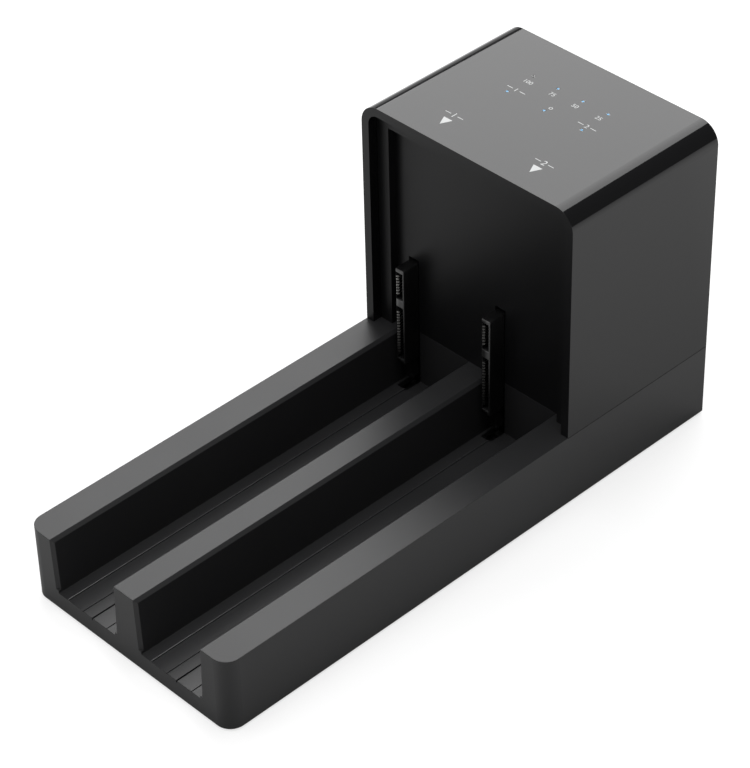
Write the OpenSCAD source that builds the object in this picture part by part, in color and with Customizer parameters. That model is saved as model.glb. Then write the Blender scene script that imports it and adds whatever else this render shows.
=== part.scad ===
// Docking station for two hard drives.
// Each drive stands on its long edge in an open channel and is pushed back onto an upright connector.
// Millimetres. +Z is up, +Y runs to the rear, +X runs to the right as seen from the front.
// The origin is on the table, under the middle of the object.

/* [Housing] */
// Width of the base and of the tower
body_w = 100; // [98:0.5:112]
// Length from the front of the base to the rear
body_l = 233.5; // [228:0.5:260]
// Height of the base, from its underside to the top of its rails
base_h = 29.9; // [28.5:0.1:34]
// Height of the housing, from its underside to the top of the tower
housing_h = 124.2; // [122:0.1:136]
// Depth of the tower, from its front rim to the rear
tower_l = 73.3; // [72:0.1:84]
// Radius of the upright front corners of the base
front_corner_r = 6; // [3:0.5:9]
// Thickness of the base's outer walls and rails
base_wall = 2.2; // [1.8:0.1:2.6]
// Thickness of the tower hood
hood_wall = 3.4; // [2.8:0.1:3.8]
// Outer radius of the hood's long top edges
hood_corner_r = 8; // [6:0.5:12]
// Thickness of the base's rear wall
rear_wall = 3.2; // [2.8:0.1:3.8]
// Gap left between housing pieces that slide together
fit_gap = 0.15; // [0.1:0.05:0.3]
// Thickness of the locating lip that stands inside the hood
lip_t = 1.4; // [1:0.1:1.8]
// Height of the locating lip above the base
lip_h = 3; // [2:0.5:5]

/* [Drive bays] */
// Width of each channel between its upright walls
bay_w = 30.8; // [30:0.1:31.4]
// Width of the middle rail between the channels
mid_rail_w = 12; // [11:0.5:13]
// Height of the channel floor above the underside
floor_h = 6.9; // [6.4:0.1:8]
// Thickness of the channel floor
floor_t = 2.4; // [2:0.1:2.8]
// How much each channel wall leans in by the time it meets the floor
bay_draft = 0.75; // [0.3:0.05:1.2]
// Chamfer along the top edges of the channels
rail_chamfer = 1.2; // [0.8:0.1:2]
// Length of the lead-in at the mouth of each channel
lead_in_l = 1.2; // [0.8:0.1:4]
// Height at which the lead-in stops above the channel floor
lead_in_step = 1.2; // [0.5:0.1:3]
// Distance from the left channel wall to the raised guide line in the floor
guide_x = 5.7; // [4.5:0.1:7]
// Width of the raised guide line
guide_w = 0.5; // [0.4:0.1:1]
// Height of the raised guide line
guide_h = 0.35; // [0.2:0.05:0.6]
// Distance from the left channel wall to the first fine groove
fine_groove_1_x = 13.5; // [12:0.1:15]
// Distance from the left channel wall to the second fine groove
fine_groove_2_x = 25.7; // [24:0.1:27]
// Width of the fine grooves
fine_groove_w = 0.3; // [0.2:0.05:0.5]
// Depth of the fine grooves
fine_groove_d = 0.3; // [0.2:0.05:0.5]
// Distance from the left channel wall to the deep groove
deep_groove_x = 18.4; // [17:0.1:20]
// Width of the deep groove
deep_groove_w = 0.6; // [0.4:0.1:1]
// Depth of the deep groove
deep_groove_d = 0.9; // [0.5:0.1:1.2]

/* [Front panel] */
// How far the panel lies behind the hood's front rim
panel_recess = 7.3; // [6:0.1:9]
// How far the panel's border lies behind the hood's front rim
border_recess = 4; // [3:0.1:5]
// Width of the panel's border
border_w = 5.7; // [4:0.1:7]
// Thickness of the panel and of the wall that closes the channels
panel_t = 2.2; // [1.8:0.1:2.6]

/* [Rear panel] */
// How far the rear panel lies inside the hood's rear rim
rear_panel_recess = 0.6; // [0.4:0.1:0.8]
// Number of vent slots
vent_count = 7; // [3:1:9]
// Height of one vent slot
vent_w = 2; // [1.5:0.1:2.5]
// Length of one vent slot
vent_l = 42; // [30:1:50]
// Distance from one vent slot to the next
vent_pitch = 4.6; // [4:0.1:5.5]
// Height of the lowest vent slot above the underside
vent_z = 70; // [66:1:74]
// Height of the rear panel's locating tabs
tab_h = 4; // [3:0.5:6]
// Width of the rear panel's locating tabs
tab_w = 12; // [8:0.5:16]

/* [Bottom] */
// Thickness of the bottom cover
cover_t = 2; // [1.6:0.1:2.2]
// Width of the base's rim around the bottom cover
cover_rim = 1.5; // [1.2:0.1:1.7]
// Diameter of the feet
foot_d = 11; // [8:0.5:13]
// Depth of the pocket that holds each foot
foot_seat = 0.8; // [0.5:0.1:1.1]
// How far the feet stand out under the housing
foot_proud = 0.8; // [0.5:0.1:2]
// Distance of the feet from the sides
foot_side = 24; // [22:0.5:26]
// Distance of the feet from the front and the rear
foot_end = 16; // [14:0.5:20]

/* [Screws] */
// Diameter of the screw shafts
screw_d = 2.6; // [2.2:0.1:2.8]
// Diameter of the screw heads
screw_head_d = 5; // [4.4:0.1:5.4]
// Height of the screw heads
screw_head_h = 1.5; // [1.2:0.1:1.6]
// Radial play of a screw in its boss
screw_play = 0.05; // [0.02:0.01:0.1]
// Radial play of a screw where it passes through a piece
screw_clear = 0.3; // [0.2:0.05:0.4]
// Outer diameter of the screw bosses
boss_d = 6.4; // [6:0.1:7]
// Length of the screws that go into long bosses
long_screw = 11; // [10:0.5:14]
// Length of the screws that hold the boards
short_screw = 5; // [4.5:0.1:5.4]
// Length of each slot of the cross in a screw's head
cross_l = 2.8; // [2.4:0.1:3.2]
// Width of these slots
cross_w = 0.7; // [0.5:0.1:0.9]
// Depth of the cross
cross_d = 0.8; // [0.6:0.1:1]
// Room past the tip of a screw in its hole
tip_room = 1; // [0.6:0.1:1.5]
// Material past the end of a screw hole in a long boss
boss_end = 2; // [1:0.5:3]
// How far a boss is let into the wall beside it
boss_in = 1.2; // [0.6:0.1:1.6]
// Thickness of the ribs that tie a boss to the hood
rib_t = 2; // [1.2:0.1:3]

/* [Fixings] */
// Distance from the front of the base to the first screws of the bottom cover
cover_screw_front = 12; // [10:0.5:16]
// Distance from the tower's front rim to the middle screws of the bottom cover
cover_screw_mid = 20; // [10:1:40]
// Distance from the rear wall to the last screws of the bottom cover
cover_screw_rear = 8; // [7:0.5:10]
// Depth of the recesses for their heads
head_sink = 1.1; // [0.8:0.1:1.3]
// Thickness of the ears that the hood is screwed to
ear_t = 3; // [2:0.1:4]
// Length of these ears
ear_l = 10; // [9:0.5:12]
// Room between the head of a hood screw and the wall beside it
head_room = 0.6; // [0.4:0.1:0.8]
// Distance from the front panel to the first hood screws
hood_screw_front = 14; // [12:0.5:20]
// Distance from the rear wall to the last hood screws
hood_screw_rear = 19; // [17:0.5:24]
// Length of the bosses that take the front panel's screws
panel_boss_l = 5; // [4:0.5:6]
// Material left in front of the screw holes in the front panel
panel_skin = 1; // [0.6:0.1:1.4]
// Thickness of the hood's lugs behind the front panel
lug_t = 3; // [2:0.1:4]
// Half the width of these lugs
lug_r = 3.6; // [3.4:0.1:3.8]
// Room between the screw heads on the lugs and the hood
lug_room = 1.7; // [1.2:0.1:2]
// Height of the lower lugs above the base
lug_low = 16; // [14:1:24]
// Distance of the upper lugs from the ceiling
lug_high = 12; // [10:1:16]
// Distance from the hood's wall to the bosses of the rear panel
rear_boss_side = 3; // [2:0.1:4]
// Height of the lower screws of the rear panel above the base
rear_boss_low = 22; // [18:1:26]
// Distance of the upper screws of the rear panel from the ceiling
rear_boss_high = 11; // [10:1:16]

/* [Drive connectors] */
// Distance from the left channel wall to the middle of its connector
conn_x = 4.3; // [4:0.1:5]
// Thickness of a connector
conn_t = 4.2; // [3.8:0.1:4.4]
// Length of the part that enters the drive
conn_l = 42; // [41.6:0.1:42.4]
// Height of its lower end above the underside
conn_z = 18.5; // [17.5:0.1:19.5]
// How far it stands out from the panel
conn_reach = 7.4; // [6.8:0.1:8]
// How far its root stands out from the panel
root_reach = 4; // [3:0.1:5]
// Height of the root's lower end above the underside
root_z = 10.5; // [9.5:0.1:12]
// Gap between a connector and its slot
slot_gap = 0.35; // [0.25:0.05:0.5]
// Depth of the two mouths in the connector
mouth_depth = 6; // [5:0.1:7]
// Width of the mouths
mouth_w = 1.7; // [1.5:0.1:1.8]
// Length of the short leg at the end of each mouth
mouth_leg = 1; // [0.6:0.1:1.1]
// Width of the short leg
mouth_leg_w = 1.3; // [1:0.1:1.6]
// Distance from the connector's left face to the wall that carries the contacts
mouth_wall = 1.5; // [1.4:0.1:1.6]
// Length of the mouth with seven contacts
mouth_7_l = 10.6; // [10.2:0.1:11]
// Length of the mouth with fifteen contacts
mouth_15_l = 22.4; // [21.6:0.1:22.6]
// Wall at the upper and lower ends of the connector
mouth_end = 2.2; // [2:0.1:2.6]
// Distance from one contact to the next
contact_pitch = 1.27; // [1.2:0.01:1.3]
// Width of a contact
contact_w = 0.6; // [0.4:0.05:0.7]
// Thickness of a contact
contact_t = 0.7; // [0.5:0.05:0.8]
// How far a contact's end lies inside the connector's mouth
contact_inset = 0.4; // [0.2:0.1:1]
// Gap above a connector in the panel's slot
slot_head = 1.2; // [0.8:0.1:2]
// Diameter of the connector's locating pegs
peg_d = 1.6; // [1.2:0.1:2]
// Distance of the pegs from the connector's ends
peg_end = 3; // [2:0.5:5]

/* [Boards] */
// Thickness of the circuit boards
board_t = 1.6; // [1:0.1:2]
// Distance from the front panel to the main board
board_gap = 4; // [3.5:0.1:5]
// Gap between the main board's sides and the hood's lugs
board_side_gap = 1.3; // [1:0.1:2]
// Height of the main board's lower edge above the underside
main_z = 8; // [7.8:0.1:10]
// Height of the main board
main_h = 80; // [78:0.5:84]
// Height of the posts under the rear board
post_h = 3.2; // [2.6:0.1:3.6]
// Distance from the main board to the rear board
io_gap = 4; // [3:0.1:5]
// Gap between the rear board and the power switch
io_switch_gap = 4.5; // [3:0.1:5]
// Gap between the rear board and the rear wall
io_rear_gap = 2; // [1:0.1:3]
// Gap between the rear board and the cover boss beside it
io_side_gap = 1.2; // [0.8:0.1:2]
// Distance from the left connector to the left screws of the main board
board_screw_left = 11; // [8:0.5:14]
// Distance from the right connector to the right screws of the main board
board_screw_right = 22; // [20:0.5:23]
// Height of the lower screws of the main board above the base
board_screw_low = 8; // [6:0.5:10]
// Distance of the upper screws of the main board from its upper edge
board_screw_high = 8; // [6:0.5:10]
// Distance of the rear board's screws from its sides
post_side = 4; // [3.5:0.1:5]
// Distance of the rear board's first screws from its front edge
post_front = 5; // [4:0.5:8]
// Distance of its last screws from its rear edge
post_rear = 21; // [20:0.5:24]

/* [Board parts] */
// Distance from the main board's middle to the middle of the control chip
control_x = -6; // [-8:0.5:-4]
// Height of the control chip above the board's lower edge
control_z = 44; // [42:0.5:46]
// Width of the control chip
control_w = 14; // [10:0.5:16]
// Thickness of the control chip
control_t = 1.4; // [1:0.1:2]
// Distance from the main board's middle to the left bridge chip
bridge_left_x = -27; // [-29:0.5:-26]
// Distance from the main board's middle to the right bridge chip
bridge_right_x = 22; // [20:0.5:24]
// Height of the bridge chips above the board's lower edge
bridge_z = 49; // [48:0.5:54]
// Width of the bridge chips
bridge_w = 9; // [7:0.5:10]
// Thickness of the bridge chips
bridge_t = 1.2; // [1:0.1:2]
// Distance from the main board's middle to the flash chip
flash_x = 8; // [6:0.5:10]
// Height of the flash chip above the board's lower edge
flash_z = 32; // [30:0.5:34]
// Width of the flash chip
flash_w = 5; // [4:0.5:6]
// Thickness of the flash chip
flash_t = 1.6; // [1:0.1:2]
// Gap under a chip, between its rows of legs
chip_gap = 0.1; // [0.05:0.05:0.2]
// How far a row of legs reaches to either side of a chip's edge
leg_reach = 0.8; // [0.5:0.1:1]
// Thickness of a row of legs
leg_t = 0.5; // [0.3:0.1:0.7]
// Distance from a chip's corner to its row of legs
leg_end = 0.5; // [0.3:0.1:0.8]
// Height of the crystals above the board's lower edge
crystal_z = 40; // [39:0.5:41]
// Length of a crystal's can
crystal_l = 10; // [8:0.5:11]
// Width of a crystal's can
crystal_w = 4; // [3:0.5:4.5]
// Thickness of a crystal's can
crystal_t = 3.5; // [2.5:0.1:4]
// Distance from the main board's middle to the coils
coil_x = 27; // [25:0.5:28]
// Height of the coils above the board's lower edge
coil_z = 22; // [18:0.5:22]
// Width of a coil
coil_w = 7; // [5:0.5:8]
// Thickness of a coil
coil_t = 3.2; // [2:0.1:4]
// Radius of a coil's corners
coil_r = 1.5; // [0.5:0.1:2]
// Distance from the main board's middle to the first capacitor
capacitor_1_x = -14; // [-15:0.5:-13]
// Distance from the main board's middle to the second capacitor
capacitor_2_x = -4; // [-5:0.5:-3]
// Distance from the main board's middle to the third capacitor
capacitor_3_x = 15; // [13:0.5:17]
// Height of the capacitors above the board's lower edge
capacitor_z = 19; // [16:0.5:22]
// Diameter of a capacitor
capacitor_d = 6.3; // [5:0.1:6.3]
// Length of a capacitor
capacitor_l = 7.7; // [5:0.1:10]
// Number of pins between the two boards
link_pins_n = 8; // [4:1:8]
// Distance from one of these pins to the next
link_pitch = 2.54; // [2:0.01:2.6]
// Width of these pins
link_pin_w = 0.64; // [0.5:0.02:0.8]
// Width of the header and of the socket for these pins
link_w = 22; // [21:0.5:26]
// Height of the header and of the socket
link_h = 5; // [4:0.1:6]
// Thickness of the header
link_base_t = 2.5; // [2:0.1:3]
// Distance from the rear board's front edge to the socket
link_gap = 0.3; // [0.1:0.1:0.5]
// Length of the socket
link_socket_l = 7.7; // [6:0.1:9]
// How far the pins reach past the rear board's front edge
link_reach = 5; // [4:0.1:5.5]

/* [Lamps] */
// Distance between the lamps in the rear row
lamp_pitch = 11.7; // [11:0.1:12.5]
// Distance from the rear of the tower to the rear row of lamps
lamp_rear_y = 20.5; // [19.5:0.1:21.5]
// Distance from the rear row of lamps to the front row
lamp_row_gap = 13.4; // [12:0.1:14]
// Diameter of the light guides
guide_d = 1.3; // [1:0.1:1.8]
// Diameter of the collars on the light guides
collar_d = 3; // [2.6:0.1:3.6]
// Radial play of a light guide in its hole
guide_play = 0.05; // [0.03:0.01:0.1]
// Distance from the lamp board to the tower's ceiling
lamp_gap = 6.6; // [6:0.1:7.6]
// Width of the lamp board
lamp_board_w = 58; // [57:0.5:60]
// Depth of the lamp board
lamp_board_l = 36; // [35:0.5:38]
// Distance of the lamp board's screws from its edges
lamp_board_edge = 3.5; // [3:0.1:4]
// Width of a lamp
lamp_w = 2; // [1.2:0.1:2.4]
// Depth of a lamp
lamp_l = 1.2; // [0.8:0.1:1.6]
// Height of a lamp
lamp_h = 0.8; // [0.5:0.1:1.2]
// Gap between a lamp and its light guide
guide_foot_gap = 0.5; // [0.3:0.1:0.8]
// Thickness of the collars on the light guides
collar_t = 1.6; // [1:0.1:2]
// Wall of the light baffle around the outer collars
baffle_wall = 2; // [1.2:0.1:2.2]

/* [Ribbon cable] */
// Width of the ribbon cable
ribbon_w = 9; // [6:0.5:12]
// Thickness of the ribbon cable
ribbon_t = 0.3; // [0.2:0.05:0.5]
// Radius of its bend
ribbon_r = 5; // [3:0.5:6]
// Distance from the middle of the cable to the board behind it
ribbon_off = 1.6; // [1.2:0.1:2]
// How far the cable reaches into its sockets
ribbon_grip = 2.4; // [1.5:0.1:3]
// Width of the sockets
ribbon_socket_w = 13; // [12.5:0.5:16]
// Height of the sockets above their boards
ribbon_socket_h = 3; // [2.6:0.1:4]
// Length of the sockets along the cable
ribbon_socket_l = 5; // [4:0.1:6]
// Distance from the main board's upper edge to its socket's lower side
ribbon_socket_low = 7; // [6:0.5:9]
// Distance from the lamp board's front edge to its socket
ribbon_socket_edge = 4; // [1:0.5:6]

/* [Power switch] */
// Distance from the tower's right side to the switch's middle
switch_x = 20; // [19.6:0.1:20.6]
// Height of the switch's middle above the underside
switch_z = 15.5; // [15:0.1:16.5]
// Width of the switch's bezel
bezel_w = 21; // [20.4:0.1:22]
// Height of the switch's bezel
bezel_h = 15; // [14:0.1:15.5]
// Thickness of the switch's bezel
bezel_t = 2; // [1.6:0.1:2.4]
// Width of the switch's body behind the wall
switch_w = 19; // [18.4:0.1:19.2]
// Height of the switch's body behind the wall
switch_h = 12.8; // [12.2:0.1:13]
// Length of the switch's body, from the outer face of the wall
switch_l = 14; // [13:0.1:16]
// Depth of the well that the rocker moves in, behind its pivot
well_depth = 5.5; // [5:0.1:6.5]
// Length of the rocker
rocker_l = 14.6; // [14:0.1:15]
// How far the rocker's raised ends lie in from its sides
rocker_end = 0.6; // [0.3:0.1:1]
// Height of the rocker
rocker_h = 8.6; // [8:0.1:8.8]
// Distance from the rocker's pivot to its raised ends, square to the wall
rocker_rise = 4.6; // [4.2:0.1:5]
// Distance from the outer face of the wall to the rocker's pivot
pivot_inset = 1.5; // [1:0.1:2]
// Angle between the two faces of the rocker and straight across
rocker_angle = 11; // [9:0.5:12]
// Gap between the rocker and its bezel
rocker_gap = 0.6; // [0.5:0.05:0.7]
// Diameter of the rocker's pivot pins
pivot_d = 2.4; // [2:0.1:2.8]
// Length of each pivot pin
pivot_l = 1.5; // [1.3:0.1:1.6]
// Radial play of the pivot pins
pivot_play = 0.05; // [0.02:0.01:0.08]
// Play at the ends of the pivot pins
pivot_end_play = 0.2; // [0.1:0.05:0.3]
// Distance between the switch's terminals
terminal_pitch = 8; // [7:0.1:9]
// Length of the terminals
terminal_l = 6; // [4:0.5:8]
// Height of the terminals
terminal_w = 3; // [2:0.1:4]
// Thickness of the terminals
terminal_t = 0.8; // [0.5:0.1:1]
// Diameter of the wires to the switch
wire_d = 1.6; // [1.2:0.1:1.8]
// Radius of the bends in the wires
wire_r = 4; // [3:0.1:4.5]
// Straight length of the nearer wire behind its terminal
wire_lead = 1; // [0.5:0.1:2]
// Half the distance between the wires
wire_apart = 3; // [2:0.1:3.5]
// Distance from the rear board's right edge to the middle of the wires
wire_end = 14; // [12:0.5:15]

/* [Clone button] */
// Distance from the button's middle to the tower's middle
button_x = 6; // [5.4:0.1:6.6]
// Height of the button's middle above the underside
button_z = 13.5; // [13:0.1:14.5]
// Diameter of the button
button_d = 5.6; // [5:0.1:6]
// How far the button lies inside the outer face of the wall
button_recess = 0.6; // [0.3:0.1:1]
// How far the button slides in
button_travel = 0.8; // [0.5:0.1:1]
// Radial gap around the button
button_gap = 0.3; // [0.2:0.05:0.4]
// Diameter of the button's inner flange
button_flange_d = 8; // [7.6:0.1:8.4]
// Diameter of the button's stem
stem_d = 3; // [2.6:0.1:3.4]
// Radial play of the stem in its switch
stem_play = 0.05; // [0.02:0.01:0.1]
// Thickness of the button's flange
flange_t = 1.2; // [0.8:0.1:1.6]
// Gap between the flange and the rear wall
flange_gap = 0.3; // [0.2:0.05:0.4]
// Gap left between the pressed button and its switch
button_stop = 0.4; // [0.3:0.05:0.6]
// Length of the switch behind the button
button_switch_l = 7; // [6:0.5:9]
// Width of this switch
button_switch_w = 7; // [6:0.5:8]
// Material left at the end of the switch's bore
button_switch_end = 1; // [0.6:0.1:1.5]

/* [Rear sockets] */
// Distance from the tower's left side to the power inlet's middle
jack_x = 18; // [17:0.1:19]
// Width of the power inlet
jack_w = 9; // [8.6:0.1:9.6]
// Height of the power inlet
jack_h = 11; // [10.6:0.1:12]
// Length of the power inlet
jack_l = 14.4; // [13:0.1:16]
// Height of the power inlet's bore above its board
jack_bore_z = 6.5; // [6:0.1:6.8]
// Diameter of the power inlet's bore
jack_bore_d = 6.4; // [6:0.1:6.6]
// Radial gap between a plug in the inlet's bore and the hole in the rear wall
jack_rim = 1.1; // [0.8:0.1:1.4]
// Material behind the inlet's bore
jack_bore_end = 3; // [2:0.1:4]
// Diameter of the power inlet's centre pin
jack_pin_d = 2.1; // [2:0.1:2.5]
// Distance from the inlet's ends to the ends of its pin
jack_pin_end = 1; // [0.6:0.1:1.5]
// Distance from the data port's middle to the tower's middle
port_x = -12; // [-13:0.1:-11]
// Width of the data port's shell
port_w = 12; // [11.6:0.1:12.4]
// Height of the data port's shell
port_h = 13; // [12.6:0.1:13.4]
// Length of the data port's shell
port_l = 18; // [17:0.1:20]
// Thickness of the data port's shell
port_shell_t = 0.4; // [0.3:0.05:0.5]
// Gap around the data port
port_gap = 0.3; // [0.2:0.05:0.5]
// How far the data port's shell lies inside the outer face of the wall
port_inset = 0.4; // [0.2:0.1:0.8]
// How far its core lies inside the shell's rim
port_core_inset = 0.3; // [0.1:0.1:0.6]
// Depth of the data port's mouth
port_mouth_d = 9; // [7:0.1:11]
// Width of the lower part of the mouth
port_mouth_w = 8.5; // [8.2:0.1:9]
// Height of the lower part of the mouth
port_mouth_h = 7.4; // [7:0.1:7.8]
// Height of the mouth above the rear board
port_mouth_z = 1.4; // [1.2:0.1:1.6]
// Width of the upper part of the mouth
port_step_w = 5.8; // [5.5:0.1:6.2]
// Height of the upper part of the mouth
port_step_h = 2.6; // [2.4:0.1:2.8]
// Width of the tongue in the mouth
port_tongue_w = 5.6; // [5.2:0.1:5.8]
// Height of the tongue
port_tongue_h = 3; // [2.6:0.1:3.2]
// Height of the tongue above the mouth's lower side
port_tongue_z = 2.2; // [2:0.1:2.4]
// How far the tongue's end lies inside the shell's rim
port_tongue_inset = 1.6; // [1:0.1:2]

/* [Hidden] */
$fn = 48;
// Overshoot of a cutting shape past the surface that it cuts
cut = 0.5;
// Overlap of two shapes that are one piece
bite = 0.4;

// How far the rocker's raised end, the rearmost point of the whole object, stands out
rocker_reach = rocker_l / 2 - rocker_end;
rocker_proud = rocker_reach * sin(rocker_angle) + rocker_rise * cos(rocker_angle) - pivot_inset;

// Planes along the length
y_front = -(body_l + rocker_proud) / 2;
y_rear = y_front + body_l;
y_rim = y_rear - tower_l;
y_panel = y_rim + panel_recess;
y_border = y_rim + border_recess;
y_behind = y_panel + panel_t;
y_main = y_behind + board_gap;
y_main_back = y_main + board_t;
y_inner = y_rear - rear_wall;
y_rear_panel = y_rear - rear_panel_recess;
rear_panel_t = rear_wall - rear_panel_recess;

// Opening inside the front panel's border
window_w = body_w - 2 * (hood_wall + border_w);

// The hood and the seat that carries it
hood_h = housing_h - base_h;
hood_in_x = body_w / 2 - hood_wall;
seat_w = hood_wall + fit_gap + lip_t;
seat_in_x = body_w / 2 - seat_w;
ceiling_z = housing_h - hood_wall;

// Rails and channels
rail_w = (body_w - 2 * bay_w - mid_rail_w) / 2;
rail_x = (body_w - rail_w) / 2;
bay_pitch = bay_w + mid_rail_w;
bays = [-bay_pitch / 2, bay_pitch / 2];
draft_angle = atan2(bay_draft, base_h - rail_chamfer - floor_h);

// Holes for screws
hole_d = screw_d + 2 * screw_play;
clear_d = screw_d + 2 * screw_clear;
recess_d = screw_head_d + 2 * screw_clear;

// Screws that hold the bottom cover
cover_ys = [y_front + cover_screw_front, y_rim - cover_screw_mid, y_inner - cover_screw_rear];
cover_xs = [rail_x, rail_x, seat_in_x - boss_d / 2 + boss_in];
cover_xy = [for (side = [-1, 1], i = [0:2]) [side * cover_xs[i], cover_ys[i]]];
cover_boss_top = [base_h - base_wall / 2, base_h - base_wall / 2, cover_t + long_screw + tip_room + boss_end];

// Screws that hold the hood to the base, from below
hood_boss_x = seat_in_x - screw_head_d / 2 - head_room;
hood_boss_y = [y_panel + hood_screw_front, y_inner - hood_screw_rear];
hood_hole_l = long_screw - ear_t + tip_room;
hood_boss_h = hood_hole_l + boss_end;

// Screws that hold the front panel to the hood, from behind
lug_x = hood_in_x - screw_head_d / 2 - lug_room;
main_w = 2 * (lug_x - lug_r - board_side_gap);
lug_z = [base_h + lug_low, ceiling_z - lug_high];

// Screws that hold the rear panel to the hood
rear_boss_x = hood_in_x - boss_d / 2 - rear_boss_side;
rear_boss_z = [base_h + rear_boss_low, ceiling_z - rear_boss_high];
rear_hole_l = long_screw + tip_room;
rear_boss_l = rear_hole_l + boss_end;

// Tabs that locate the rear panel behind the base's rear wall
tab_x = seat_in_x - tab_w;
tab_t = rear_panel_t / 2;

// Feet
foot_x = body_w / 2 - foot_side;
foot_ys = [y_front + foot_end, y_rear - foot_end];

// Drive connectors
slot_w = conn_t + 2 * slot_gap;
conn_xs = [for (b = bays) b - bay_w / 2 + conn_x];
y_conn = y_panel - conn_reach;
y_root = y_panel - root_reach;
conn_top = conn_z + conn_l;
mouth_x = -conn_t / 2 + mouth_wall;
mouth_15_z = conn_z + mouth_end;
mouth_7_z = conn_top - mouth_end - mouth_7_l;
contacts = concat(
    [for (i = [0:14]) mouth_15_z + mouth_15_l / 2 + (i - 7) * contact_pitch],
    [for (i = [0:6]) mouth_7_z + mouth_7_l / 2 + (i - 3) * contact_pitch]
);
pegs_z = [root_z + peg_end, conn_top - peg_end];

// Main board
board_boss_x = [conn_xs[0] + board_screw_left, conn_xs[1] + board_screw_right];
board_boss_z = [base_h + board_screw_low, main_z + main_h - board_screw_high];
bridge_xs = [bridge_left_x, bridge_right_x];
capacitor_xs = [capacitor_1_x, capacitor_2_x, capacitor_3_x];

// Rear board, from the last cover boss on the left to the power switch on the right
switch_mid = body_w / 2 - switch_x;
io_z = cover_t + post_h;
io_top = io_z + board_t;
y_io = y_main_back + io_gap;
io_l = y_inner - io_rear_gap - y_io;
io_left = -cover_xs[2] + boss_d / 2 + io_side_gap;
io_right = switch_mid - switch_w / 2 - io_switch_gap;
post_xs = [io_left + post_side, io_right - post_side];
post_ys = [y_io + post_front, y_io + io_l - post_rear];

// Pins between the two boards, in the middle of the rear board
link_x = (io_left + io_right) / 2;
link_z = io_top + link_h / 2;
jack_z = io_top + jack_bore_z;
jack_mid = jack_x - body_w / 2;

// Lamps
lamp_y1 = y_rear - lamp_rear_y;
lamp_y2 = lamp_y1 - lamp_row_gap;
lamp_xy = concat(
    [for (i = [-1.5, -0.5, 0.5, 1.5]) [i * lamp_pitch, lamp_y1]],
    [for (i = [-1.5, 0, 1.5]) [i * lamp_pitch, lamp_y2]]
);
lamp_mid_y = (lamp_y1 + lamp_y2) / 2;
lamp_board_z = ceiling_z - lamp_gap - board_t;
baffle_w = 3 * lamp_pitch + collar_d + 2 * baffle_wall;
baffle_l = lamp_row_gap + collar_d + 2 * baffle_wall;
lamp_boss_x = lamp_board_w / 2 - lamp_board_edge;
lamp_boss_y = lamp_board_l / 2 - lamp_board_edge;

// Ribbon cable between the lamp board and the main board
ribbon_y = y_main_back + ribbon_off;
ribbon_z = lamp_board_z - ribbon_off;
ribbon_top_y = lamp_mid_y - lamp_board_l / 2 + ribbon_socket_edge;
main_socket_z = main_z + main_h - ribbon_socket_low;

// Power switch
switch_back = y_rear - switch_l;
rocker_well_w = rocker_l + 2 * rocker_gap;
rocker_well_h = rocker_h + 2 * rocker_gap;
pivot_y = y_rear - pivot_inset;
pivot_bore_l = rocker_h + 2 * (pivot_l + pivot_end_play);
wire_end_x = io_right - wire_end;

// Clone button
button_face_y = y_rear - button_recess;
flange_y = y_inner - flange_gap;
button_switch_y = flange_y - flange_t - button_travel - button_stop;
bore_y = button_switch_y - button_switch_l + button_switch_end;
stem_y = bore_y + button_travel + button_stop;

// Data port
y_port = y_rear - port_inset;

// Everything is drawn from the underside of the housing and then set on the feet
module on_feet() translate([0, 0, foot_proud]) children();

// A profile drawn as seen from the front, run from y0 to the rear by length
module along_y(y0, length) translate([0, y0 + length, 0])
    rotate([90, 0, 0]) linear_extrude(length) children();

// A round bar or hole along +Y that starts at y0
module bar_y(x, y0, z, d, length) translate([x, y0, z]) rotate([-90, 0, 0]) cylinder(d = d, h = length);

// The same thing on the right and, mirrored, on the left
module both_sides() {
    children();
    mirror([1, 0, 0]) children();
}

// A block given by its corner ranges
module block(x, y, z) translate([x[0], y[0], z[0]]) cube([x[1] - x[0], y[1] - y[0], z[1] - z[0]]);

// A block with round upright edges
module soft_block(w, l, h, r) {
    translate([-w / 2 + r, -l / 2, 0]) cube([w - 2 * r, l, h]);
    translate([-w / 2, -l / 2 + r, 0]) cube([w, l - 2 * r, h]);
    for (x = [-w / 2 + r, w / 2 - r], y = [-l / 2 + r, l / 2 - r]) translate([x, y, 0]) cylinder(r = r, h = h);
}

// Screw with its head below z = 0 and its shaft above
module screw(length) difference() {
    union() {
        translate([0, 0, -screw_head_h]) cylinder(d = screw_head_d, h = screw_head_h);
        cylinder(d = screw_d, h = length);
    }
    for (a = [0, 90]) rotate([0, 0, a]) translate([-cross_l / 2, -cross_w / 2, -screw_head_h - cut])
        cube([cross_l, cross_w, cut + cross_d]);
}

// Outline of the base in plan, moved in by inset
module base_plan(inset) {
    w = body_w - 2 * inset;
    l = body_l - 2 * inset;
    r = front_corner_r - inset;
    y = y_front + inset;
    translate([-w / 2, y + r]) square([w, l - r]);
    translate([-w / 2 + r, y]) square([w - 2 * r, l]);
    for (x = [-w / 2 + r, w / 2 - r]) translate([x, y + r]) circle(r);
}

// Channel as seen from the front, around its own middle
module bay_profile() polygon([
    [-bay_w / 2 - rail_chamfer, base_h],
    [-bay_w / 2, base_h - rail_chamfer],
    [-bay_w / 2 + bay_draft, floor_h],
    [bay_w / 2 - bay_draft, floor_h],
    [bay_w / 2, base_h - rail_chamfer],
    [bay_w / 2 + rail_chamfer, base_h],
    [bay_w / 2 + rail_chamfer, base_h + cut],
    [-bay_w / 2 - rail_chamfer, base_h + cut]
]);

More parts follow.
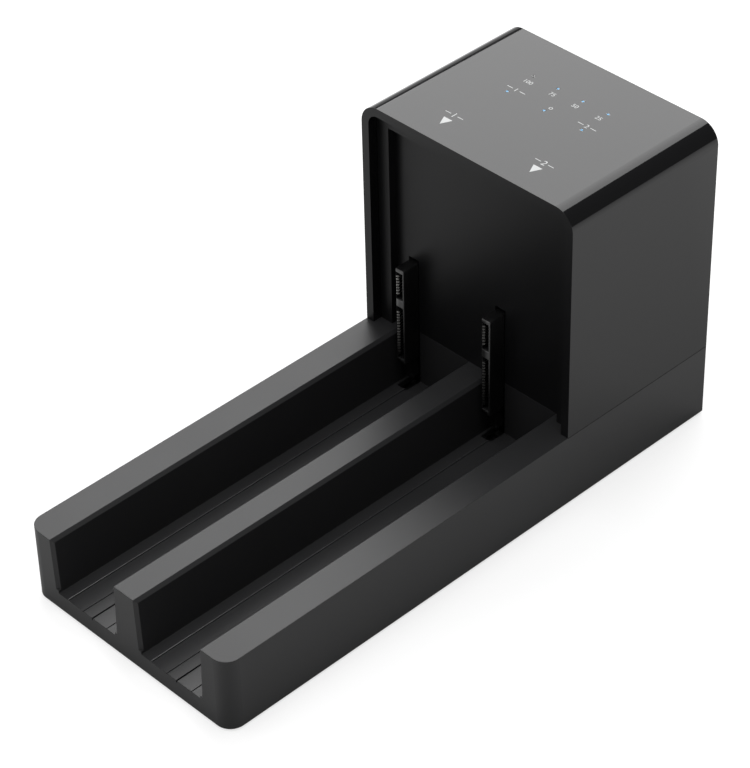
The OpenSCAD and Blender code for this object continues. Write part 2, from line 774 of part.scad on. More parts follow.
// Wedge that opens one wall of a channel at its mouth
module lead_in(side) {
    depth = base_h - rail_chamfer - floor_h - lead_in_step;
    translate([side * bay_w / 2, y_front, base_h - rail_chamfer])
        rotate([0, side * draft_angle, 0])
        translate([0, 0, -depth])
        linear_extrude(depth + rail_chamfer + cut)
        polygon([[-side * cut, -cut], [side * rail_chamfer, -cut], [side * rail_chamfer, 0], [0, lead_in_l],
            [-side * cut, lead_in_l]]);
}

// Everything that is taken out of the base for one drive
module bay_cut() {
    left = -bay_w / 2;
    along_y(y_front - cut, y_panel - y_front + cut) bay_profile();
    for (side = [-1, 1]) lead_in(side);
    for (g = [fine_groove_1_x, fine_groove_2_x])
        block([left + g - fine_groove_w / 2, left + g + fine_groove_w / 2], [y_front - cut, y_panel],
            [floor_h - fine_groove_d, floor_h + cut]);
    block([left + deep_groove_x - deep_groove_w / 2, left + deep_groove_x + deep_groove_w / 2],
        [y_front - cut, y_panel], [floor_h - deep_groove_d, floor_h + cut]);
}

// Slot for one connector through the end wall, with its notch in the channel floor
module connector_slot()
    block([-slot_w / 2, slot_w / 2], [y_rim, y_behind + cut], [floor_h - floor_t - cut, base_h + cut]);

// Hollow under the rails and the floor, open at the bottom
module rail_hollow() intersection() {
    along_y(y_front + base_wall, y_panel - y_front - base_wall) difference() {
        translate([-body_w / 2 + base_wall, -cut]) square([body_w - 2 * base_wall, base_h - base_wall + cut]);
        for (b = bays) translate([b - bay_w / 2 - base_wall, floor_h - floor_t])
            square([bay_w + 2 * base_wall, base_h]);
    }
    translate([0, 0, -cut]) linear_extrude(base_h + cut) base_plan(base_wall);
}

module base_tray() color([0.15, 0.15, 0.16]) on_feet() difference() {
    union() {
        difference() {
            linear_extrude(base_h) base_plan(0);
            for (b = bays) translate([b, 0, 0]) bay_cut();
            rail_hollow();
            block([-seat_in_x, seat_in_x], [y_behind, y_inner], [-cut, base_h + cut]);
            translate([0, 0, -cut]) linear_extrude(cover_t + cut) base_plan(cover_rim);
        }
        for (b = bays) translate([b - bay_w / 2 + guide_x, 0, 0])
            block([-guide_w / 2, guide_w / 2], [y_front, y_panel + bite], [floor_h - bite, floor_h + guide_h]);
        for (i = [0:len(cover_xy) - 1]) translate([cover_xy[i][0], cover_xy[i][1], cover_t])
            cylinder(d = boss_d, h = cover_boss_top[i % 3] - cover_t);
        both_sides() {
            for (y = hood_boss_y) block([seat_in_x - ear_l, seat_in_x + bite], [y - ear_l / 2, y + ear_l / 2],
                [base_h - ear_t, base_h]);
            block([seat_in_x, seat_in_x + lip_t], [hood_boss_y[0] + ear_l / 2, hood_boss_y[1] - ear_l / 2],
                [base_h - bite, base_h + lip_h]);
        }
    }
    for (x = conn_xs) translate([x, 0, 0]) connector_slot();
    for (p = cover_xy) translate([p[0], p[1], cover_t - cut])
        cylinder(d = hole_d, h = long_screw + tip_room + cut);
    for (x = [-hood_boss_x, hood_boss_x], y = hood_boss_y) translate([x, y, base_h - ear_t - cut])
        cylinder(d = clear_d, h = ear_t + 2 * cut);
    bar_y(jack_mid, y_inner - cut, jack_z, jack_bore_d + 2 * jack_rim, rear_wall + 2 * cut);
    block([port_x - port_w / 2 - port_gap, port_x + port_w / 2 + port_gap], [y_inner - cut, y_rear + cut],
        [io_top - port_gap, io_top + port_h + port_gap]);
    bar_y(button_x, y_inner - cut, button_z, button_d + 2 * button_gap, rear_wall + 2 * cut);
    block([switch_mid - switch_w / 2 - fit_gap, switch_mid + switch_w / 2 + fit_gap], [y_inner - cut, y_rear + cut],
        [switch_z - switch_h / 2 - fit_gap, switch_z + switch_h / 2 + fit_gap]);
    both_sides() block([tab_x - tab_w / 2 - fit_gap, tab_x + tab_w / 2 + fit_gap],
        [y_inner - cut, y_inner + tab_t + fit_gap], [base_h - tab_h - fit_gap, base_h + cut]);
}

module bottom_cover() color([0.16, 0.16, 0.17]) on_feet() difference() {
    union() {
        linear_extrude(cover_t) base_plan(cover_rim + fit_gap);
        for (x = post_xs, y = post_ys) translate([x, y, cover_t - bite]) cylinder(d = boss_d, h = post_h + bite);
    }
    for (x = [-foot_x, foot_x], y = foot_ys) translate([x, y, -cut]) cylinder(d = foot_d, h = foot_seat + cut);
    for (p = cover_xy) translate([p[0], p[1], -cut]) {
        cylinder(d = clear_d, h = cover_t + 2 * cut);
        cylinder(d = recess_d, h = head_sink + cut);
    }
    for (x = post_xs, y = post_ys) translate([x, y, cover_t / 2]) cylinder(d = hole_d, h = cover_t + post_h);
}

module foot(x, y) color([0.07, 0.07, 0.07]) translate([x, y, 0])
    cylinder(d = foot_d, h = foot_proud + foot_seat);
module foot_front_left() foot(-foot_x, foot_ys[0]);
module foot_front_right() foot(foot_x, foot_ys[0]);
module foot_rear_left() foot(-foot_x, foot_ys[1]);
module foot_rear_right() foot(foot_x, foot_ys[1]);

module cover_screws() color([0.3, 0.3, 0.31]) on_feet()
    for (p = cover_xy) translate([p[0], p[1], head_sink]) screw(long_screw);

// Arch of the hood as seen from the front, moved in by inset
module hood_arch(inset, drop) {
    w = body_w - 2 * inset;
    h = hood_h - inset;
    r = hood_corner_r - inset;
    translate([-w / 2, base_h - drop]) square([w, h - r + drop]);
    translate([-w / 2 + r, base_h - drop]) square([w - 2 * r, h + drop]);
    for (x = [-w / 2 + r, w / 2 - r]) translate([x, base_h + h - r]) circle(r);
}

module tower_hood() color([0.03, 0.03, 0.035]) on_feet() difference() {
    union() {
        along_y(y_rim, tower_l) difference() {
            hood_arch(0, 0);
            hood_arch(hood_wall, cut);
        }
        both_sides() {
            for (y = hood_boss_y) {
                translate([hood_boss_x, y, base_h]) cylinder(d = boss_d, h = hood_boss_h);
                block([hood_boss_x, hood_in_x + bite], [y - rib_t / 2, y + rib_t / 2],
                    [base_h, base_h + hood_boss_h]);
            }
            for (z = lug_z) block([lug_x - lug_r, hood_in_x + bite],
                [y_behind + panel_boss_l, y_behind + panel_boss_l + lug_t], [z - lug_r, z + lug_r]);
            for (z = rear_boss_z) {
                bar_y(rear_boss_x, y_inner - rear_boss_l, z, boss_d, rear_boss_l);
                block([rear_boss_x, hood_in_x + bite], [y_inner - rear_boss_l, y_inner],
                    [z - rib_t / 2, z + rib_t / 2]);
            }
        }
        for (x = [-lamp_boss_x, lamp_boss_x], y = [-lamp_boss_y, lamp_boss_y])
            translate([x, lamp_mid_y + y, ceiling_z - lamp_gap]) cylinder(d = boss_d, h = lamp_gap + bite);
    }
    for (x = [-hood_boss_x, hood_boss_x], y = hood_boss_y) translate([x, y, base_h - cut])
        cylinder(d = hole_d, h = hood_hole_l + cut);
    for (x = [-lug_x, lug_x], z = lug_z) bar_y(x, y_behind + panel_boss_l - cut, z, clear_d, lug_t + 2 * cut);
    for (x = [-rear_boss_x, rear_boss_x], z = rear_boss_z)
        bar_y(x, y_inner - rear_hole_l, z, hole_d, rear_hole_l + cut);
    for (x = [-lamp_boss_x, lamp_boss_x], y = [-lamp_boss_y, lamp_boss_y])
        translate([x, lamp_mid_y + y, ceiling_z - lamp_gap - cut]) cylinder(d = hole_d, h = short_screw + cut);
    for (p = lamp_xy) translate([p[0], p[1], ceiling_z - cut])
        cylinder(d = guide_d + 2 * guide_play, h = hood_wall + 2 * cut);
}

module hood_screws() color([0.6, 0.6, 0.62]) on_feet()
    for (x = [-hood_boss_x, hood_boss_x], y = hood_boss_y)
        translate([x, y, base_h - ear_t]) screw(long_screw);

module front_panel() color([0.12, 0.12, 0.125]) on_feet() difference() {
    union() {
        along_y(y_panel, panel_t) hood_arch(hood_wall + fit_gap, 0);
        along_y(y_border, y_panel - y_border + bite) difference() {
            hood_arch(hood_wall + fit_gap, 0);
            translate([-window_w / 2, base_h - cut]) square([window_w, ceiling_z - border_w - base_h + cut]);
        }
        for (x = [-lug_x, lug_x], z = lug_z) bar_y(x, y_behind - bite, z, boss_d, panel_boss_l + bite);
        for (x = board_boss_x, z = board_boss_z) bar_y(x, y_behind - bite, z, boss_d, board_gap + bite);
    }
    for (x = conn_xs) translate([x, 0, 0])
        block([-slot_w / 2, slot_w / 2], [y_panel - cut, y_behind + cut],
            [base_h - cut, conn_top + slot_head]);
    for (x = [-lug_x, lug_x], z = lug_z) bar_y(x, y_panel + panel_skin, z, hole_d, panel_t + panel_boss_l);
    for (x = board_boss_x, z = board_boss_z) bar_y(x, y_panel + panel_skin, z, hole_d, panel_t + board_gap);
}

// Screw that enters a piece towards the front, with its head behind y
module screw_forward(x, y, z, length) translate([x, y, z]) rotate([90, 0, 0]) screw(length);

module front_panel_screws() color([0.6, 0.6, 0.62]) on_feet() for (x = [-lug_x, lug_x], z = lug_z)
    screw_forward(x, y_behind + panel_boss_l + lug_t, z, panel_boss_l + lug_t - tip_room);

module rear_panel() color([0.12, 0.12, 0.125]) on_feet() difference() {
    union() {
        along_y(y_inner, rear_panel_t) hood_arch(hood_wall + fit_gap, 0);
        both_sides()
            block([tab_x - tab_w / 2, tab_x + tab_w / 2], [y_inner, y_inner + tab_t],
                [base_h - tab_h, base_h + bite]);
    }
    for (i = [0:vent_count - 1]) along_y(y_inner - cut, rear_panel_t + 2 * cut)
        translate([0, vent_z + i * vent_pitch]) {
            square([vent_l - vent_w, vent_w], center = true);
            for (x = [-1, 1]) translate([x * (vent_l - vent_w) / 2, 0]) circle(d = vent_w);
        }
    for (x = [-rear_boss_x, rear_boss_x], z = rear_boss_z) {
        bar_y(x, y_inner - cut, z, clear_d, rear_panel_t + 2 * cut);
        bar_y(x, y_rear_panel - screw_head_h, z, recess_d, screw_head_h + cut);
    }
}

module rear_panel_screws() color([0.3, 0.3, 0.31]) on_feet()
    for (x = [-rear_boss_x, rear_boss_x], z = rear_boss_z)
        screw_forward(x, y_rear_panel - screw_head_h, z, long_screw);

module main_board() color([0.02, 0.25, 0.12]) on_feet() difference() {
    block([-main_w / 2, main_w / 2], [y_main, y_main_back], [main_z, main_z + main_h]);
    for (x = board_boss_x, z = board_boss_z) bar_y(x, y_main - cut, z, clear_d, board_t + 2 * cut);
    for (x = conn_xs, z = pegs_z) bar_y(x, y_main - cut, z, peg_d + 2 * screw_play, board_t + 2 * cut);
}

module main_board_screws() color([0.6, 0.6, 0.62]) on_feet() for (x = board_boss_x, z = board_boss_z)
    screw_forward(x, y_main_back, z, short_screw);

// The row of contacts of one connector
module contact_row() for (z = contacts)
    block([mouth_x - contact_t, mouth_x], [y_conn + contact_inset, y_main], [z - contact_w / 2, z + contact_w / 2]);

// Mouth of a connector, with its short leg at the lower end
module mouth(z, length) {
    block([mouth_x, mouth_x + mouth_w], [y_conn - cut, y_conn + mouth_depth], [z, z + length]);
    block([mouth_x - mouth_leg, mouth_x + bite], [y_conn - cut, y_conn + mouth_depth], [z, z + mouth_leg_w]);
}

module sata_connector(x) color([0.03, 0.03, 0.03]) on_feet() translate([x, 0, 0]) difference() {
    union() {
        block([-conn_t / 2, conn_t / 2], [y_conn, y_main], [conn_z, conn_top]);
        block([-conn_t / 2, conn_t / 2], [y_root, y_main], [root_z, conn_top]);
        for (z = pegs_z) bar_y(0, y_main - bite, z, peg_d, board_t + bite);
    }
    mouth(mouth_15_z, mouth_15_l);
    mouth(mouth_7_z, mouth_7_l);
    for (z = contacts) block([mouth_x - contact_t, mouth_x + cut], [y_conn - cut, y_main + cut],
        [z - contact_w / 2, z + contact_w / 2]);
}

module sata_connector_left() sata_connector(conn_xs[0]);
module sata_connector_right() sata_connector(conn_xs[1]);

module sata_contacts(x) color([0.75, 0.6, 0.25]) on_feet() translate([x, 0, 0]) contact_row();
module sata_contacts_left() sata_contacts(conn_xs[0]);
module sata_contacts_right() sata_contacts(conn_xs[1]);

// A flat square chip on the back of the main board, with its rows of legs
module chip(x, z, w, t) {
    block([x - w / 2, x + w / 2], [y_main_back + chip_gap, y_main_back + t], [z - w / 2, z + w / 2]);
    for (side = [-1, 1]) translate([x + side * w / 2, y_main_back, z])
        block([-leg_reach, leg_reach], [0, leg_t], [-w / 2 + leg_end, w / 2 - leg_end]);
}

module control_chip() color([0.05, 0.05, 0.05]) on_feet()
    chip(control_x, main_z + control_z, control_w, control_t);

module bridge_chips() color([0.05, 0.05, 0.05]) on_feet() for (x = bridge_xs)
    chip(x, main_z + bridge_z, bridge_w, bridge_t);

module flash_chip() color([0.05, 0.05, 0.05]) on_feet() chip(flash_x, main_z + flash_z, flash_w, flash_t);

module crystals() color([0.75, 0.75, 0.76]) on_feet() for (x = bridge_xs)
    translate([x, y_main_back, main_z + crystal_z])
    block([-crystal_l / 2, crystal_l / 2], [0, crystal_t], [-crystal_w / 2, crystal_w / 2]);

module power_coils() color([0.2, 0.2, 0.21]) on_feet() both_sides()
    translate([coil_x, y_main_back, main_z + coil_z])
    rotate([-90, 0, 0]) soft_block(coil_w, coil_w, coil_t, coil_r);

module capacitors() color([0.7, 0.7, 0.72]) on_feet() for (x = capacitor_xs)
    bar_y(x, y_main_back, main_z + capacitor_z, capacitor_d, capacitor_l);

module rear_board() color([0.02, 0.25, 0.12]) on_feet() difference() {
    block([io_left, io_right], [y_io, y_io + io_l], [io_z, io_top]);
    for (x = post_xs, y = post_ys) translate([x, y, io_z - cut]) cylinder(d = clear_d, h = board_t + 2 * cut);
}

module rear_board_screws() color([0.6, 0.6, 0.62]) on_feet() for (x = post_xs, y = post_ys)
    translate([x, y, io_top]) rotate([180, 0, 0]) screw(short_screw);

module power_inlet() color([0.04, 0.04, 0.04]) on_feet() difference() {
    block([jack_mid - jack_w / 2, jack_mid + jack_w / 2], [y_inner - jack_l, y_inner], [io_top, io_top + jack_h]);
    bar_y(jack_mid, y_inner - jack_l + jack_bore_end, jack_z, jack_bore_d, jack_l);
    bar_y(jack_mid, y_inner - jack_l + jack_pin_end, jack_z, jack_pin_d, jack_l);
}

module power_inlet_pin() color([0.8, 0.8, 0.8]) on_feet()
    bar_y(jack_mid, y_inner - jack_l + jack_pin_end, jack_z, jack_pin_d, jack_l - 2 * jack_pin_end);

// Open space of the data port as seen from the rear, around its lower middle
module port_outline() {
    translate([-port_mouth_w / 2, 0]) square([port_mouth_w, port_mouth_h]);
    translate([-port_step_w / 2, port_mouth_h - bite]) square([port_step_w, port_step_h + bite]);
}

module data_port_shell() color([0.72, 0.72, 0.74]) on_feet() difference() {
    block([port_x - port_w / 2, port_x + port_w / 2], [y_port - port_l, y_port], [io_top, io_top + port_h]);
    block([port_x - port_w / 2 + port_shell_t, port_x + port_w / 2 - port_shell_t],
        [y_port - port_l + port_shell_t, y_port + cut], [io_top + port_shell_t, io_top + port_h - port_shell_t]);
}

module data_port_core() color([0.05, 0.15, 0.5]) on_feet() translate([port_x, 0, 0]) difference() {
    block([-port_w / 2 + port_shell_t, port_w / 2 - port_shell_t],
        [y_port - port_l + port_shell_t, y_port - port_core_inset],
        [io_top + port_shell_t, io_top + port_h - port_shell_t]);
    difference() {
        along_y(y_port - port_mouth_d, port_mouth_d) translate([0, io_top + port_mouth_z]) port_outline();
        translate([0, 0, io_top + port_mouth_z + port_tongue_z]) block([-port_tongue_w / 2, port_tongue_w / 2],
            [y_port - port_mouth_d - cut, y_port - port_tongue_inset], [0, port_tongue_h]);
    }
}

module link_header() color([0.04, 0.04, 0.04]) on_feet() difference() {
    block([link_x - link_w / 2, link_x + link_w / 2], [y_main_back, y_main_back + link_base_t],
        [io_top, io_top + link_h]);
    link_rods(y_main_back - cut, y_main_back + link_base_t + cut);
}

// Row of square pins along Y between two planes
module link_rods(y0, y1) for (i = [0:link_pins_n - 1])
    translate([link_x + (i - (link_pins_n - 1) / 2) * link_pitch, 0, link_z])
    block([-link_pin_w / 2, link_pin_w / 2], [y0, y1], [-link_pin_w / 2, link_pin_w / 2]);

module link_pins() color([0.8, 0.65, 0.3]) on_feet() link_rods(y_main_back, y_io + link_reach);

module link_socket() color([0.04, 0.04, 0.04]) on_feet() difference() {
    block([link_x - link_w / 2, link_x + link_w / 2], [y_io + link_gap, y_io + link_gap + link_socket_l],
        [io_top, io_top + link_h]);
    link_rods(y_io, y_io + link_reach);
}

module power_switch_body() color([0.04, 0.04, 0.04]) on_feet() translate([switch_mid, 0, switch_z])
    difference() {
    union() {
        block([-bezel_w / 2, bezel_w / 2], [y_rear, y_rear + bezel_t], [-bezel_h / 2, bezel_h / 2]);
        block([-switch_w / 2, switch_w / 2], [switch_back, y_rear + bite], [-switch_h / 2, switch_h / 2]);
    }
    block([-rocker_well_w / 2, rocker_well_w / 2], [pivot_y - well_depth, y_rear + bezel_t + cut],
        [-rocker_well_h / 2, rocker_well_h / 2]);
    translate([0, pivot_y, -pivot_bore_l / 2]) cylinder(d = pivot_d + 2 * pivot_play, h = pivot_bore_l);
}

module power_switch_terminals() color([0.8, 0.8, 0.78]) on_feet() for (side = [-1, 1])
    translate([switch_mid + side * terminal_pitch / 2, 0, switch_z])
    block([-terminal_t / 2, terminal_t / 2], [switch_back - terminal_l, switch_back],
        [-terminal_w / 2, terminal_w / 2]);

// The rocker lies pressed at its left end, which is off
module power_rocker() color([0.06, 0.06, 0.06]) on_feet() translate([switch_mid, pivot_y, switch_z])
    rotate([0, 0, rocker_angle]) {
        translate([0, 0, -rocker_h / 2]) linear_extrude(rocker_h) polygon([
            [-rocker_l / 2, rocker_rise / 2],
            [-rocker_reach, rocker_rise],
            [0, rocker_rise - rocker_reach * tan(rocker_angle)],
            [rocker_reach, rocker_rise],
            [rocker_l / 2, rocker_rise / 2],
            [pivot_d, -pivot_d],
            [-pivot_d, -pivot_d]
        ]);
        translate([0, 0, -rocker_h / 2 - pivot_l]) cylinder(d = pivot_d, h = rocker_h + 2 * pivot_l);
    }

// Wire from a terminal, round to the left and down onto the rear board
module switch_wire(x0, x1, lead) {
    turn_y = switch_back - terminal_l - lead;
    run_y = turn_y - wire_r;
    bar_y(x0, turn_y, switch_z, wire_d, lead);
    translate([x0 - wire_r, turn_y, switch_z]) rotate([0, 0, -90])
        rotate_extrude(angle = 90) translate([wire_r, 0]) circle(d = wire_d);
    translate([x1 + wire_r, run_y, switch_z]) rotate([0, 90, 0])
        cylinder(d = wire_d, h = x0 - x1 - 2 * wire_r);
    translate([x1 + wire_r, run_y, switch_z - wire_r]) rotate([90, 0, 0]) rotate([0, 0, 90])
        rotate_extrude(angle = 90) translate([wire_r, 0]) circle(d = wire_d);
    translate([x1, run_y, io_top]) cylinder(d = wire_d, h = switch_z - wire_r - io_top);
}

module switch_wires() color([0.6, 0.05, 0.05]) on_feet() for (side = [-1, 1])
    switch_wire(switch_mid + side * terminal_pitch / 2, wire_end_x + side * wire_apart,
        side > 0 ? wire_lead + wire_apart : wire_lead);

module clone_switch() color([0.05, 0.05, 0.05]) on_feet() difference() {
    block([button_x - button_switch_w / 2, button_x + button_switch_w / 2],
        [button_switch_y - button_switch_l, button_switch_y], [io_top, button_z + button_switch_w / 2]);
    bar_y(button_x, bore_y, button_z, stem_d + 2 * stem_play, button_switch_l);
}

module clone_button() color([0.1, 0.1, 0.105]) on_feet() {
    bar_y(button_x, flange_y - bite, button_z, button_d, button_face_y - flange_y + bite);
    bar_y(button_x, flange_y - flange_t, button_z, button_flange_d, flange_t);
    bar_y(button_x, stem_y, button_z, stem_d, flange_y - stem_y);
}

module lamp_board() color([0.02, 0.25, 0.12]) on_feet() difference() {
    translate([0, lamp_mid_y, lamp_board_z]) block([-lamp_board_w / 2, lamp_board_w / 2],
        [-lamp_board_l / 2, lamp_board_l / 2], [0, board_t]);
    for (x = [-lamp_boss_x, lamp_boss_x], y = [-lamp_boss_y, lamp_boss_y])
        translate([x, lamp_mid_y + y, lamp_board_z - cut]) cylinder(d = clear_d, h = board_t + 2 * cut);
}

module lamp_board_screws() color([0.6, 0.6, 0.62]) on_feet()
    for (x = [-lamp_boss_x, lamp_boss_x], y = [-lamp_boss_y, lamp_boss_y])
        translate([x, lamp_mid_y + y, lamp_board_z]) screw(short_screw);

module lamps() color([0.9, 0.9, 0.8]) on_feet() for (p = lamp_xy)
    translate([p[0], p[1], lamp_board_z + board_t])
        block([-lamp_w / 2, lamp_w / 2], [-lamp_l / 2, lamp_l / 2], [0, lamp_h]);

module light_guides() color([0.8, 0.85, 0.9]) on_feet() for (p = lamp_xy) translate([p[0], p[1], 0]) {
    foot_z = lamp_board_z + board_t + lamp_h + guide_foot_gap;
    translate([0, 0, foot_z]) cylinder(d = guide_d, h = housing_h - foot_z);
    translate([0, 0, ceiling_z - collar_t]) cylinder(d = collar_d, h = collar_t);
}

module light_baffle() color([0.05, 0.05, 0.05]) on_feet() difference() {
    translate([0, lamp_mid_y, ceiling_z - lamp_gap])
        block([-baffle_w / 2, baffle_w / 2], [-baffle_l / 2, baffle_l / 2], [0, lamp_gap]);
    for (p = lamp_xy) translate([p[0], p[1], ceiling_z - lamp_gap - cut])
        cylinder(d = collar_d + 2 * guide_play, h = lamp_gap + 2 * cut);
}

module ribbon_cable() color([0.85, 0.85, 0.82]) on_feet() {
    low_z = main_socket_z + ribbon_socket_l - ribbon_grip;
    turn_y = ribbon_y + ribbon_r;
    turn_z = ribbon_z - ribbon_r;
    block([-ribbon_w / 2, ribbon_w / 2], [ribbon_y - ribbon_t / 2, ribbon_y + ribbon_t / 2], [low_z, turn_z]);
    block([-ribbon_w / 2, ribbon_w / 2], [turn_y, ribbon_top_y + ribbon_grip],
        [ribbon_z - ribbon_t / 2, ribbon_z + ribbon_t / 2]);
    translate([-ribbon_w / 2, turn_y, turn_z]) rotate([90, 0, 90]) rotate([0, 0, 90])
        rotate_extrude(angle = 90) translate([ribbon_r - ribbon_t / 2, 0]) square([ribbon_t, ribbon_w]);
}

module main_ribbon_socket() color([0.9, 0.88, 0.8]) on_feet() difference() {
    block([-ribbon_socket_w / 2, ribbon_socket_w / 2], [y_main_back, y_main_back + ribbon_socket_h],
        [main_socket_z, main_socket_z + ribbon_socket_l]);
    block([-ribbon_w / 2, ribbon_w / 2], [ribbon_y - ribbon_t / 2, ribbon_y + ribbon_t / 2],
        [main_socket_z + ribbon_socket_l - ribbon_grip, main_socket_z + ribbon_socket_l + cut]);
}

module lamp_ribbon_socket() color([0.9, 0.88, 0.8]) on_feet() difference() {
    block([-ribbon_socket_w / 2, ribbon_socket_w / 2], [ribbon_top_y, ribbon_top_y + ribbon_socket_l],
        [lamp_board_z - ribbon_socket_h, lamp_board_z]);
    block([-ribbon_w / 2, ribbon_w / 2], [ribbon_top_y - cut, ribbon_top_y + ribbon_grip],
        [ribbon_z - ribbon_t / 2, ribbon_z + ribbon_t / 2]);
}

base_tray();
bottom_cover();
foot_front_left();
foot_front_right();
foot_rear_left();
foot_rear_right();
cover_screws();
tower_hood();
hood_screws();
front_panel();
front_panel_screws();
rear_panel();
rear_panel_screws();
main_board();
main_board_screws();
sata_connector_left();
sata_connector_right();
sata_contacts_left();
sata_contacts_right();
control_chip();
bridge_chips();
flash_chip();
crystals();
power_coils();
capacitors();
rear_board();
rear_board_screws();
power_inlet();
power_inlet_pin();
data_port_shell();
data_port_core();
link_header();
link_pins();
link_socket();
power_switch_body();
power_switch_terminals();
power_rocker();
switch_wires();
clone_switch();
clone_button();
lamp_board();
lamp_board_screws();
lamps();
light_guides();
light_baffle();
ribbon_cable();
main_ribbon_socket();
lamp_ribbon_socket();
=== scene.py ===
import math

import bmesh
import bpy
from bpy.props import FloatProperty, FloatVectorProperty, PointerProperty
from mathutils import Matrix, Vector


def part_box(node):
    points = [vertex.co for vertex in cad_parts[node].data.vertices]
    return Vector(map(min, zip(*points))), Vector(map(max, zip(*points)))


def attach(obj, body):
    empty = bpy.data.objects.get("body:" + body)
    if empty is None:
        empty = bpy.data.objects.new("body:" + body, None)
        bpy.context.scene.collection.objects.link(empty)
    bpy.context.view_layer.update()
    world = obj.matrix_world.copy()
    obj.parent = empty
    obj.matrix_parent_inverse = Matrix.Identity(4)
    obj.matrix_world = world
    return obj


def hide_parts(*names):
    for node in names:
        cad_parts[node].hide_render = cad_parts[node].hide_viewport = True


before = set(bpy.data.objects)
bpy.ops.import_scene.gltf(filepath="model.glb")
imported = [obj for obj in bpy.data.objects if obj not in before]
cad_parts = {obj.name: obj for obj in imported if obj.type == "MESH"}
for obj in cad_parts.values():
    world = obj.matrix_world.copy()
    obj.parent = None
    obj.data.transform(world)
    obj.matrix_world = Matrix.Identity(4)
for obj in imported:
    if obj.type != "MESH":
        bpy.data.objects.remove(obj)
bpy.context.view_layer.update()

bl_info = {
    "name": "Drive Docking Station",
    "version": (1, 0, 0),
    "blender": (4, 5, 0),
    "location": "View3D > Sidebar > Docking Station",
    "description": "Finishes, marks and small parts of a docking station for two hard drives",
    "category": "Object",
}

MM = 0.001

# The drive connectors, in millimetres: the drop of the root below the body, the length and count of the two
# rows of contacts, and how far in from the ends of the body the rows begin
ROOT_DROP = 8
POWER_ROW, POWER_CONTACTS = 22.4, 15
SIGNAL_ROW, SIGNAL_CONTACTS = 10.6, 7
ROW_INSET = 2.2

# How bright the contacts of each connector are, as a share of the colour of their plating: painted light and
# shade
CONTACT_PAINTED_LIGHT = {"left": 0.85, "right": 0.3}

# The guide ridges, in millimetres: their places across the base, the height of their middle, the height below
# which they are cut away, and their radius
RIDGE_PLACES = (-31.1, 11.7)
RIDGE_HEIGHT = 7.95
RIDGE_CUT = 7.72
RIDGE_RADIUS = 0.32

# What is lit and printed on the hood's top, in millimetres across and along. A number has a size, as a share
# of the digit height. A ruled number has a short rule on both sides.
LIT_LAMPS = ((-5.85, 94.1), (5.85, 94.1), (17.55, 94.1), (-17.55, 80.7), (0, 80.7), (17.55, 80.7))
PLAIN_NUMBERS = (("100", -16.2, 90.1, 1), ("75", -4.9, 90.1, 1), ("50", 5.9, 90.1, 1), ("25", 16.8, 90.1, 1))
RULED_NUMBERS = (("1", -15.9, 83.5, 1.1), ("2", 17.4, 83.5, 1.1),
                 ("1", -20.2, 57.2, 1.4), ("2", 22.2, 57.2, 1.4))
RULE_LENGTH, RULE_WIDTH, RULE_OFFSET = 2.6, 0.3, 2.9
ARROW_PLACES, ARROW_TIP, ARROW_BACK, ARROW_HALF = (-20.15, 22.1), 49.9, 54.2, 2.05
RING_PLACE, RING_RADIUS, RING_WIDTH = (0.8, 83.2), 0.75, 0.28

# The marks on the rocker, in millimetres: the width and length of the bar, the ring, and how far both stand
# out
SWITCH_BAR = (0.6, 3.2)
SWITCH_RING_RADIUS, SWITCH_RING_WIDTH = 1.5, 0.5
SWITCH_MARK_HEIGHT = 0.04

# The softboxes: place and size in metres, power in watts, and the point that each one faces
SOFTBOXES = {
    "key": ((-0.55, 0.76, 1.02), (1.3, 0.9), 15, (0, 0.03, 0.08)),
    "edge": ((-1.25, 0.85, 0.33), (0.9, 0.5), 0.8, (0, 0.03, 0.08)),
    "over": ((0.1, -0.15, 1.5), (0.9, 0.9), 14, (0, 0, 0.05)),
    "front": ((-1.0, -1.1, 0.95), (0.8, 0.8), 2.2, (0, 0, 0.05)),
}

# The floor's colour, and its glow as the camera sees it, in the middle and from a distance on, and as glossy
# surfaces mirror it, at the foot of the dock and further out. For all other light the floor hardly glows.
# The footprint is half the width and half the length of the dock.
# The mirrored glow that is dimmer at the foot of the dock is a painted shadow of the dock on the floor.
FLOOR_COLOUR = 0.36
SEEN_CLOSE, SEEN_FAR, SEEN_DISTANCE = 0.64, 1, 2
MIRRORED_CLOSE, MIRRORED_FAR, MIRRORED_DISTANCE = 0.06, 0.85, 200 * MM
FLOOR_GLOW = 0.01
FOOTPRINT = (50 * MM, 119 * MM)

# How bright the world is as a light, while the stage's room says how bright glossy surfaces mirror it
WORLD_FILL = 0.4


class DockFinishes(bpy.types.PropertyGroup):
    """Colours and surface grain of the mouldings"""

    base_colour: FloatVectorProperty(
        name="Base", description="Colour of the base's moulded plastic",
        subtype="COLOR", size=3, min=0, max=1, default=(0.0155, 0.0155, 0.0163))
    hood_colour: FloatVectorProperty(
        name="Hood", description="Colour of the glossy hood",
        subtype="COLOR", size=3, min=0, max=1, default=(0.004, 0.004, 0.0045))
    panel_colour: FloatVectorProperty(
        name="Panels", description="Colour of the front and rear panels",
        subtype="COLOR", size=3, min=0, max=1, default=(0.0055, 0.0055, 0.006))
    grain: FloatProperty(
        name="Grain", description="Width of one grain of the spark eroded texture",
        subtype="DISTANCE", unit="LENGTH", default=0.35 * MM, min=0.1 * MM, max=1 * MM)
    grain_depth: FloatProperty(
        name="Grain depth", description="Depth of the spark eroded texture",
        subtype="DISTANCE", unit="LENGTH", default=0.012 * MM, min=0, max=0.1 * MM)


